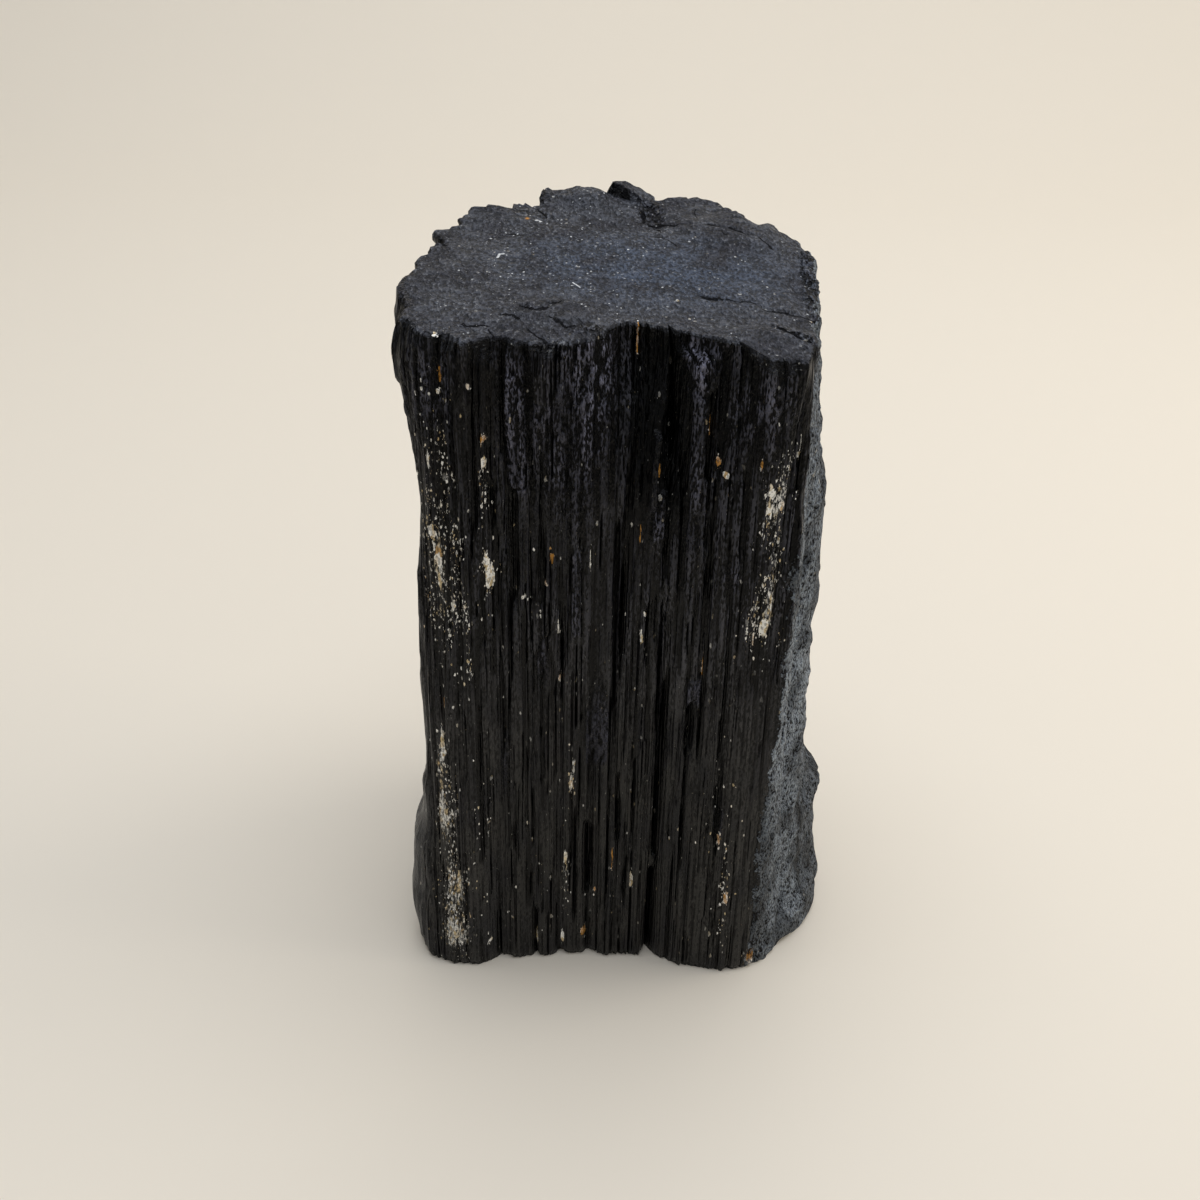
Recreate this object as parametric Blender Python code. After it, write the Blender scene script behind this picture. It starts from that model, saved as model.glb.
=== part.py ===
"""Raw black tourmaline: a broken length of one striated crystal column.

The column stands upright on its lower break, which is flat. +Z runs along the column and -Y is its
broad front face. The origin is the middle of the foot's bounding box. Every size below is in
millimetres, in a frame whose Z axis is the column's own axis; the mesh is moved and scaled to metres
as it is built.
"""
from dataclasses import dataclass

import bmesh
import bpy
import numpy as np

MM = 0.001
NODE = "tourmaline_crystal"

# Driving sizes
HEIGHT = 150.0  # from the lower break to the upper break, on the column's axis
FRONT = 33.0  # from the axis to the front face
AXIS = (-5.82, -0.48)  # where the column's axis stands from the origin
TILT_X = -0.045  # the upper break falls to the right
TILT_Y = 0.05  # and rises to the back
FOOT_BEVEL = 0.7  # the crushed lower edge
BODY_LEVEL = 105.0  # height at which the column has its BODY outline
RIM_LEVEL = 108.0  # height above which the outline turns into that of the rim

# Mesh
COLUMNS = 140
FRONT_DENSITY = 1.9  # columns per millimetre on the front, against one elsewhere
LEVELS = (0.0, 0.012, 0.035, 0.07, 0.11, 0.15, 0.19, 0.225, 0.25, 0.29, 0.34, 0.39, 0.44, 0.49, 0.54, 0.59,
          0.64, 0.69, 0.74, 0.79, 0.83, 0.865, 0.90, 0.93, 0.958, 0.98, 1.0)
CAP_RINGS = (0.965, 0.91, 0.84, 0.75, 0.62, 0.45, 0.24)

# Corners of the outline at three heights, counter-clockwise from the right
RIM = (
    (40.2, 0.3), (39.2, 8.1), (37.0, 12.1), (32.8, 19.0), (30.0, 19.2), (25.6, 22.8), (20.9, 28.0), (16.4, 30.4),
    (12.4, 29.9), (9.6, 27.4), (6.2, 30.8), (3.2, 31.8), (0.8, 31.2), (-0.8, 29.8), (-6.2, 31.0), (-13.0, 28.4),
    (-13.9, 23.6), (-19.6, 20.8), (-23.8, 20.8), (-27.9, 15.4), (-31.2, 8.0), (-32.8, 0.6), (-34.8, -5.0),
    (-38.3, -13.6), (-38.6, -19.4), (-36.4, -28.0), (-33.0, -31.8), (-28.6, -32.6), (-23.9, -35.0), (-17.6, -32.6),
    (-11.2, -34.0), (-6.4, -32.8), (0.0, -31.0), (14.4, -29.2), (23.4, -30.0), (28.4, -34.6), (34.6, -34.8),
    (36.6, -28.0), (38.5, -12.0),
)
BODY = (
    (43.6, -4.0), (43.4, 6.0), (40.6, 15.0), (34.0, 23.0), (24.0, 29.5), (12.0, 33.0), (-2.0, 33.2), (-14.0, 29.4),
    (-23.4, 22.6), (-29.6, 13.0), (-32.4, 1.0), (-33.6, -12.0), (-33.7, -24.0), (-32.6, -30.2), (-28.0, -33.0),
    (-21.0, -33.0), (-17.0, -31.4), (-8.0, -32.0), (2.0, -31.2), (11.0, -31.6), (15.0, -32.6), (28.0, -33.6),
    (36.2, -33.2), (38.2, -26.0), (42.2, -14.0),
)
FOOT = (
    (46.6, -4.0), (46.0, 8.0), (43.0, 18.0), (35.0, 27.0), (23.0, 33.0), (9.0, 36.2), (-6.0, 35.4), (-19.0, 30.6),
    (-29.0, 22.0), (-34.4, 11.0), (-36.2, -1.0), (-36.6, -14.0), (-36.7, -24.4), (-34.7, -31.0), (-30.0, -33.8),
    (-24.8, -34.2), (-20.8, -32.6), (-14.8, -31.8), (-9.0, -31.8), (-2.0, -30.6), (6.0, -31.2), (12.6, -30.6),
    (19.5, -33.6), (28.3, -34.8), (34.6, -33.6), (40.4, -28.4), (45.4, -19.0),
)


@dataclass(frozen=True)
class Groove:
    """A furrow down the front face: where it is, its half width, its depth, and the heights it spans."""

    x: float
    half_width: float
    depth: float
    low: float
    high: float


@dataclass(frozen=True)
class Swell:
    """A lump on the column: its azimuth and half width in degrees, how far it stands out, its heights."""

    azimuth: float
    half_width: float
    amount: float
    low: float
    high: float
    soft: float


@dataclass(frozen=True)
class Relief:
    """A lump or a pit on the upper break: its middle, its two half widths and its height."""

    x: float
    y: float
    half_x: float
    half_y: float
    height: float


GROOVES = (
    Groove(x=-27.5, half_width=1.5, depth=0.9, low=20.0, high=150.0),
    Groove(x=-20.6, half_width=1.6, depth=1.5, low=-20.0, high=104.0),
    Groove(x=-13.0, half_width=1.3, depth=0.9, low=60.0, high=140.0),
    Groove(x=-8.0, half_width=1.5, depth=1.3, low=-20.0, high=92.0),
    Groove(x=-0.6, half_width=1.5, depth=1.3, low=-20.0, high=60.0),
    Groove(x=3.8, half_width=1.4, depth=1.0, low=40.0, high=118.0),
    Groove(x=13.4, half_width=1.6, depth=1.7, low=-20.0, high=96.0),
    Groove(x=20.0, half_width=1.5, depth=1.0, low=56.0, high=126.0),
    Groove(x=25.2, half_width=1.4, depth=1.0, low=10.0, high=84.0),
    Groove(x=33.8, half_width=1.5, depth=1.5, low=84.0, high=144.0),
)
GROOVE_END = 6.0  # half the height over which a groove fades in or out
FLUTE = Groove(x=8.6, half_width=5.6, depth=7.4, low=121.0, high=175.0)  # the deep hollow under the rim
SWELLS = (
    Swell(azimuth=-2.0, half_width=26.0, amount=4.4, low=-30.0, high=33.0, soft=3.5),
    Swell(azimuth=-15.0, half_width=19.0, amount=2.4, low=-30.0, high=13.0, soft=7.0),
    Swell(azimuth=-20.0, half_width=12.0, amount=0.9, low=90.0, high=116.0, soft=8.0),
    Swell(azimuth=208.0, half_width=22.0, amount=4.0, low=9.0, high=31.0, soft=7.0),
    Swell(azimuth=212.0, half_width=26.0, amount=2.6, low=-30.0, high=12.0, soft=8.0),
    Swell(azimuth=209.0, half_width=18.0, amount=1.3, low=64.0, high=108.0, soft=10.0),
    Swell(azimuth=48.0, half_width=16.0, amount=2.4, low=-30.0, high=46.0, soft=8.0),
    Swell(azimuth=118.0, half_width=14.0, amount=2.0, low=34.0, high=92.0, soft=9.0),
)
TOP_RELIEF = (
    Relief(x=3.8, y=30.5, half_x=4.2, half_y=5.0, height=2.1),  # the block left standing on the back edge
    Relief(x=11.5, y=25.0, half_x=3.0, half_y=3.6, height=-1.6),  # the pit beside it
    Relief(x=-6.0, y=27.0, half_x=7.0, half_y=4.5, height=1.0),
    Relief(x=-24.0, y=10.0, half_x=9.0, half_y=9.0, height=-0.5),
    Relief(x=24.0, y=14.0, half_x=11.0, half_y=9.0, height=1.2),
    Relief(x=-8.0, y=-22.0, half_x=9.0, half_y=5.0, height=0.6),
    Relief(x=36.5, y=-8.0, half_x=4.0, half_y=12.0, height=-0.9),
)
FACET_EDGE = -24.0  # in front of this line, to the right, the upper break is bevelled
FACET_LEFT = 20.0
FACET_SLOPE = 0.10

# Flutes that run round the rest of the column
FLUTE_SEED = 11
FLUTE_COUNT = 34
FLUTE_HALF_WIDTH = (1.8, 3.6)
FLUTE_DEPTH = (0.4, 1.3)

# The coarse broken right side, as an azimuth range in degrees and a depth
ROUGH_FROM = -40.0
ROUGH_TO = 32.0
ROUGH_FADE = 7.0
ROUGH_DEPTH = 0.75


def smooth(low, high, value):
    """Rises from 0 at low to 1 at high, with no corner at either end."""
    step = np.clip((value - low) / (high - low), 0.0, 1.0)
    return step * step * (3.0 - 2.0 * step)


def turned(azimuth, centre):
    """The signed angle from centre to azimuth, in radians, between minus pi and pi."""
    return (azimuth - centre + np.pi) % (2.0 * np.pi) - np.pi


def outline_radius(corners, azimuth):
    """Distance from the axis to a closed outline of straight sides, along each azimuth."""
    points = np.array(corners)
    points = points[np.argsort(np.arctan2(points[:, 1], points[:, 0]))]
    angles = np.arctan2(points[:, 1], points[:, 0])
    after = np.searchsorted(angles, turned(azimuth, 0.0)) % len(points)
    first = points[after - 1]
    side = points[after] - first
    crossing = first[..., 0] * side[..., 1] - first[..., 1] * side[..., 0]
    return crossing / (np.cos(azimuth) * side[..., 1] - np.sin(azimuth) * side[..., 0])


def front_groove(groove, azimuth, height):
    """Depth of one furrow of the front face: a bell across, and a soft start and end along Z."""
    centre = np.arctan2(-FRONT, groove.x)
    half_angle = groove.half_width * FRONT / (groove.x**2 + FRONT**2)
    across = np.exp(-((turned(azimuth, centre) / half_angle) ** 2))
    start = smooth(groove.low - GROOVE_END, groove.low + GROOVE_END, height)
    end = 1.0 - smooth(groove.high - GROOVE_END, groove.high + GROOVE_END, height)
    return groove.depth * across * start * end


def hollow(azimuth, height):
    """Depth of the hollow under the rim: flat-bottomed, with a steep right wall and a slow left one."""
    centre = np.arctan2(-FRONT, FLUTE.x)
    half_angle = FLUTE.half_width * FRONT / (FLUTE.x**2 + FRONT**2)
    place = turned(azimuth, centre) / half_angle
    across = smooth(-2.1, -0.5, place) * (1.0 - smooth(0.8, 1.2, place))
    return FLUTE.depth * across * smooth(FLUTE.low, HEIGHT - 4.0, height)


def swell(lump, azimuth, height):
    """How far one lump stands out: a cosine bell across, and a soft edge above and below."""
    place = np.clip(np.degrees(turned(azimuth, np.radians(lump.azimuth))) / lump.half_width, -1.0, 1.0)
    across = 0.5 + 0.5 * np.cos(np.pi * place)
    rise = smooth(lump.low - lump.soft, lump.low + lump.soft, height)
    fall = 1.0 - smooth(lump.high - lump.soft, lump.high + lump.soft, height)
    return lump.amount * across * rise * fall


def side_flutes(azimuth, height):
    """Depth of the seeded flutes of the sides and the back, each a bell across with its own ends."""
    draw = np.random.default_rng(FLUTE_SEED)
    depth = np.zeros(np.broadcast(azimuth, height).shape)
    for _ in range(FLUTE_COUNT):
        centre = draw.uniform(-40.0, 230.0)
        half_angle = draw.uniform(*FLUTE_HALF_WIDTH) / FRONT
        strength = draw.uniform(*FLUTE_DEPTH)
        low = draw.uniform(-60.0, 90.0)
        length = draw.uniform(40.0, 160.0)
        across = np.exp(-((turned(azimuth, np.radians(centre)) / half_angle) ** 2))
        along = smooth(low, low + 12.0, height) * (1.0 - smooth(low + length, low + length + 12.0, height))
        depth += strength * across * along
    return depth


def rough_side(azimuth, height):
    """Lumps of the broken right side: three crossed waves, faded in and out round the column."""
    degrees = np.degrees(turned(azimuth, 0.0))
    inside = smooth(ROUGH_FROM - ROUGH_FADE, ROUGH_FROM + ROUGH_FADE, degrees)
    inside = inside * (1.0 - smooth(ROUGH_TO - ROUGH_FADE, ROUGH_TO + ROUGH_FADE, degrees))
    waves = np.sin(height / 3.7 + degrees / 4.1) + np.sin(height / 2.3 - degrees / 2.9 + 1.3)
    waves = waves + np.sin(height / 7.9 + degrees / 8.7 + 0.6)
    return ROUGH_DEPTH * waves / 2.0 * inside


def column_radius(azimuth, height):
    """Distance from the axis to the side of the column at each azimuth and height."""
    rim = outline_radius(RIM, azimuth)
    body = outline_radius(BODY, azimuth)
    foot = outline_radius(FOOT, azimuth)
    to_foot = 1.0 - np.clip(height / BODY_LEVEL, 0.0, 1.0)
    to_rim = smooth(RIM_LEVEL, HEIGHT, height)
    radius = body + (foot - body) * to_foot + (rim - body) * to_rim
    for lump in SWELLS:
        radius = radius + swell(lump, azimuth, height)
    for groove in GROOVES:
        radius = radius - front_groove(groove, azimuth, height)
    return radius - hollow(azimuth, height) - side_flutes(azimuth, height) + rough_side(azimuth, height)


def top_height(x, y):
    """Height of the upper break: a tilted plane with lumps and pits, bevelled at the right front."""
    height = HEIGHT + TILT_X * x + TILT_Y * (y + FRONT)
    for form in TOP_RELIEF:
        reach = np.sqrt(((x - form.x) / form.half_x) ** 2 + ((y - form.y) / form.half_y) ** 2)
        height = height + form.height * (1.0 - smooth(0.55, 1.1, reach))
    bevel = np.maximum(FACET_EDGE - y, 0.0) * FACET_SLOPE * smooth(FACET_LEFT - 3.0, FACET_LEFT + 3.0, x)
    return height - bevel


def column_azimuths():
    """Azimuths of the mesh's columns, evenly spaced along the outline but closer on the front."""
    fine = np.linspace(-np.pi, np.pi, 3601)
    radius = outline_radius(BODY, fine)
    x = radius * np.cos(fine)
    y = radius * np.sin(fine)
    on_front = smooth(FRONT - 10.0, FRONT - 5.0, -0.5 * (y[1:] + y[:-1]))
    travelled = np.cumsum(np.hypot(np.diff(x), np.diff(y)) * (1.0 + (FRONT_DENSITY - 1.0) * on_front))
    travelled = np.concatenate(([0.0], travelled))
    return np.interp(np.arange(COLUMNS) / COLUMNS * travelled[-1], travelled, fine)


def side_rings(azimuth):
    """One ring of points for each level of the side, from the foot to the rim."""
    rim_radius = column_radius(azimuth, np.full(COLUMNS, HEIGHT))
    rim_height = top_height(rim_radius * np.cos(azimuth), rim_radius * np.sin(azimuth))
    rings = []
    for level in LEVELS:
        radius = column_radius(azimuth, np.full(COLUMNS, level * HEIGHT))
        if level == 0.0:
            radius = radius - FOOT_BEVEL
        rings.append(np.column_stack((radius * np.cos(azimuth), radius * np.sin(azimuth), level * rim_height)))
    return rings


def cap_rings(rim):
    """Rings of the upper break, from just inside the rim towards the middle."""
    rings = []
    for share in CAP_RINGS:
        x = rim[:, 0] * share
        y = rim[:, 1] * share
        rings.append(np.column_stack((x, y, top_height(x, y))))
    return rings


def add_ring(mesh, points):
    """Adds a ring of vertices, moved from the column's frame to the part's own, in metres."""
    shift = np.array((AXIS[0], AXIS[1], 0.0))
    return [mesh.verts.new(point) for point in (points + shift) * MM]


def add_band(mesh, lower, upper):
    """Joins two rings with the same number of vertices by two triangles for each column."""
    for column in range(len(lower)):
        after = (column + 1) % len(lower)
        mesh.faces.new((lower[column], lower[after], upper[after]))
        mesh.faces.new((lower[column], upper[after], upper[column]))


def add_fan(mesh, ring, middle, upward):
    """Closes a ring with triangles to one vertex in its middle."""
    for column in range(len(ring)):
        pair = (ring[column], ring[(column + 1) % len(ring)])
        mesh.faces.new((*pair, middle) if upward else (*reversed(pair), middle))


def crystal_mesh():
    """The whole crystal as one closed mesh: side, upper break and flat foot."""
    azimuth = column_azimuths()
    sides = side_rings(azimuth)
    caps = cap_rings(sides[-1])
    middle = np.array((0.0, 0.0, float(top_height(np.zeros(1), np.zeros(1))[0])))
    mesh = bmesh.new()
    rings = [add_ring(mesh, points) for points in sides + caps]
    for lower, upper in zip(rings, rings[1:]):
        add_band(mesh, lower, upper)
    add_fan(mesh, rings[-1], add_ring(mesh, middle[None, :])[0], upward=True)
    add_fan(mesh, rings[0], add_ring(mesh, np.zeros((1, 3)))[0], upward=False)
    data = bpy.data.meshes.new(NODE)
    mesh.to_mesh(data)
    mesh.free()
    data.set_sharp_from_angle(angle=np.radians(35.0))
    return data


def schorl():
    """Black tourmaline: near-black glassy stone with a faint brown cast."""
    material = bpy.data.materials.new("schorl")
    material.use_nodes = True
    shader = material.node_tree.nodes["Principled BSDF"]
    shader.inputs["Base Color"].default_value = (0.014, 0.0135, 0.0125, 1.0)
    shader.inputs["Metallic"].default_value = 0.0
    shader.inputs["Roughness"].default_value = 0.38
    shader.inputs["IOR"].default_value = 1.63
    return material


def build():
    """Empties the scene and adds the crystal."""
    for item in list(bpy.data.objects):
        bpy.data.objects.remove(item, do_unlink=True)
    crystal = bpy.data.objects.new(NODE, crystal_mesh())
    crystal.data.materials.append(schorl())
    bpy.context.scene.collection.objects.link(crystal)


build()
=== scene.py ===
"""Raw black tourmaline, dressed for rendering: one stone on a plain pale floor.

The stone is one closed mesh, worked out with numpy as a surface of two parameters (azimuth and height
on its side, distance from the rim and azimuth on its two breaks). It replaces the plain solid of the
frame, and repeats that solid's named forms before it adds the finer ones. Sizes are millimetres in the
frame of the column's own axis; vertices are moved to the part's origin and scaled to metres last.
"""
import logging
import math
from dataclasses import dataclass, field
from enum import Enum

import bpy
import numpy as np
from mathutils import Matrix, Vector


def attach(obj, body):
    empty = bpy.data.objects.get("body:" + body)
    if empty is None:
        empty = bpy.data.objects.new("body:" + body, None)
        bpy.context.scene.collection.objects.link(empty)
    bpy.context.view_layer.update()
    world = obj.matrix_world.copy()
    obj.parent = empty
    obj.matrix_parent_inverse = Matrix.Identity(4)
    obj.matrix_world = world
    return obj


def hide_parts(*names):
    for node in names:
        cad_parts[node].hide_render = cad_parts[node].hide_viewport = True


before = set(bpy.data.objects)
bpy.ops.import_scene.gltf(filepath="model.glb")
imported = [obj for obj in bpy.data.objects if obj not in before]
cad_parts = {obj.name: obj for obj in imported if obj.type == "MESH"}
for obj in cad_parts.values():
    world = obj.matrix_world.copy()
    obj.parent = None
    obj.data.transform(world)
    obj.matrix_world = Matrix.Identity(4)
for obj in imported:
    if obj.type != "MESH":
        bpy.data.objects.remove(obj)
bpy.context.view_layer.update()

LOG = logging.getLogger("tourmaline")
MM = 0.001
NODE = "tourmaline_crystal"
PIECE = "tourmaline_stone"
Array = np.ndarray
Colour = tuple[float, float, float, float]


# -------------------------------- small helpers


def linear(code: str) -> Colour:
    """Turns an sRGB hex colour into linear light.

    Args:
        code: the colour as "#rrggbb".

    Returns:
        Red, green and blue in linear light, and an alpha of one.
    """
    shares = [int(code[place : place + 2], 16) / 255.0 for place in (1, 3, 5)]
    light = [share / 12.92 if share <= 0.04045 else ((share + 0.055) / 1.055) ** 2.4 for share in shares]
    return (light[0], light[1], light[2], 1.0)


def smooth(low: float, high: float, value: Array) -> Array:
    """Rises from 0 at low to 1 at high, as 3 t squared minus 2 t cubed."""
    step = np.clip((value - low) / (high - low), 0.0, 1.0)
    return step * step * (3.0 - 2.0 * step)


def turned(azimuth: Array, centre: float) -> Array:
    """The signed angle from centre to azimuth, between minus pi and pi."""
    return (azimuth - centre + np.pi) % (2.0 * np.pi) - np.pi


def spaced(low: float, high: float, value: Array, soft: float) -> Array:
    """One between low and high, fading to zero over soft on both sides of each end."""
    return smooth(low - soft, low + soft, value) * (1.0 - smooth(high - soft, high + soft, value))


def terraced(value: Array, steps: float) -> Array:
    """Cuts a value into level steps, with short slopes between them: so many steps to each unit."""
    place = value * steps
    return (np.floor(place) + smooth(0.75, 1.0, place - np.floor(place))) / steps


def many(kind: type, *rows: tuple) -> tuple:
    """One object of a class from each row of sizes, which stand in the order of the class's fields."""
    return tuple(kind(*row) for row in rows)


def around_mean(grid: Array, window: int) -> Array:
    """The mean of each row's values over a window of columns on both sides, round the whole row.

    Args:
        grid: values, rows by columns.
        window: how many columns on each side count.

    Returns:
        The mean about each value.
    """
    sides = np.concatenate((grid[:, -window:], grid, grid[:, :window]), axis=1)
    total = np.cumsum(np.pad(sides, ((0, 0), (1, 0))), axis=1)
    width = 2 * window + 1
    return (total[:, width:] - total[:, :-width]) / width


@dataclass(frozen=True)
class Rumple:
    """Seeded smooth relief that repeats over its span.

    Values drawn between minus one and one stand on a grid of cells. Between them the relief is their
    blend, weighted along each side of the cell by 3 t squared minus 2 t cubed.

    Attributes:
        seed: seed of the draw.
        cell_u: size of a cell along the first coordinate, in millimetres.
        cell_v: size of a cell along the second coordinate.
        amount: height of the relief.
        span_u: length after which the relief repeats along the first coordinate.
        span_v: the same along the second.
    """

    seed: int
    cell_u: float
    cell_v: float
    amount: float = 1.0
    span_u: float = 400.0
    span_v: float = 400.0

    def at(self, u: Array, v: Array) -> Array:
        """The relief's height at each pair of coordinates.

        Args:
            u: first coordinates.
            v: second coordinates.

        Returns:
            One height for each pair.
        """
        count_u = max(2, round(self.span_u / self.cell_u))
        count_v = max(2, round(self.span_v / self.cell_v))
        drawn = np.random.default_rng(self.seed).uniform(-1.0, 1.0, (count_u, count_v))
        place_u = u / self.span_u * count_u
        place_v = v / self.span_v * count_v
        first_u = np.floor(place_u).astype(int)
        first_v = np.floor(place_v).astype(int)
        blend_u = smooth(0.0, 1.0, place_u - first_u)
        blend_v = smooth(0.0, 1.0, place_v - first_v)
        near_u, far_u = first_u % count_u, (first_u + 1) % count_u
        near_v, far_v = first_v % count_v, (first_v + 1) % count_v
        low = drawn[near_u, near_v] * (1.0 - blend_v) + drawn[near_u, far_v] * blend_v
        high = drawn[far_u, near_v] * (1.0 - blend_v) + drawn[far_u, far_v] * blend_v
        return self.amount * (low * (1.0 - blend_u) + high * blend_u)


# -------------------------------- forms shared with the solid


@dataclass(frozen=True)
class Furrow:
    """A furrow down the front face: its place across it, its half width, depth, lower and upper end.

    The last size is half the height over which an end fades.
    """

    x: float
    half_width: float
    depth: float
    low: float
    high: float
    end: float = 6.0

    def at(self, azimuth: Array, height: Array, front: float) -> Array:
        """Depth of the furrow: a bell across the face, with a soft start and end along the column.

        Args:
            azimuth: directions in radians.
            height: heights above the foot.
            front: distance from the axis to the front face.

        Returns:
            The depth at each place.
        """
        centre = math.atan2(-front, self.x)
        half_angle = self.half_width * front / (self.x**2 + front**2)
        across = np.exp(-((turned(azimuth, centre) / half_angle) ** 2))
        return self.depth * across * spaced(self.low, self.high, height, self.end)

    def level(self, place: Array, height: Array) -> Array:
        """The same depth, worked out from the place across the face."""
        across = np.exp(-(((place - self.x) / self.half_width) ** 2))
        return self.depth * across * spaced(self.low, self.high, height, self.end)


@dataclass(frozen=True)
class Swell:
    """A lump on the side of the column: where it is in degrees, its half width, its height and reach."""

    azimuth: float
    half_width: float
    amount: float
    low: float
    high: float
    soft: float

    def at(self, azimuth: Array, height: Array) -> Array:
        """How far the lump stands out: a cosine bell across, and a soft edge above and below.

        Args:
            azimuth: directions in radians.
            height: heights above the foot.

        Returns:
            The height at each place.
        """
        place = np.degrees(turned(azimuth, math.radians(self.azimuth))) / self.half_width
        across = 0.5 + 0.5 * np.cos(np.pi * np.clip(place, -1.0, 1.0))
        return self.amount * across * spaced(self.low, self.high, height, self.soft)


@dataclass(frozen=True)
class Relief:
    """A lump or a pit on the upper break: its middle, its two half widths and its height."""

    x: float
    y: float
    half_x: float
    half_y: float
    height: float

    def at(self, x: Array, y: Array) -> Array:
        """Height of the lump: level inside, falling to nothing at its edge."""
        reach = np.hypot((x - self.x) / self.half_x, (y - self.y) / self.half_y)
        return self.height * (1.0 - smooth(0.55, 1.1, reach))


@dataclass(frozen=True)
class Outline:
    """A closed outline of straight sides round the column's axis, given by its corners."""

    corners: tuple[tuple[float, float], ...]

    def radius(self, azimuth: Array) -> Array:
        """Distance from the axis to the outline: where each azimuth's ray crosses its side.

        Args:
            azimuth: directions in radians.

        Returns:
            The cross product of the side's two corners, over that of the ray and the side.
        """
        points = np.array(self.corners)
        points = points[np.argsort(np.arctan2(points[:, 1], points[:, 0]))]
        angles = np.arctan2(points[:, 1], points[:, 0])
        after = np.searchsorted(angles, turned(azimuth, 0.0)) % len(points)
        first = points[after - 1]
        side = points[after] - first
        crossing = first[..., 0] * side[..., 1] - first[..., 1] * side[..., 0]
        return crossing / (np.cos(azimuth) * side[..., 1] - np.sin(azimuth) * side[..., 0])


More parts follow.
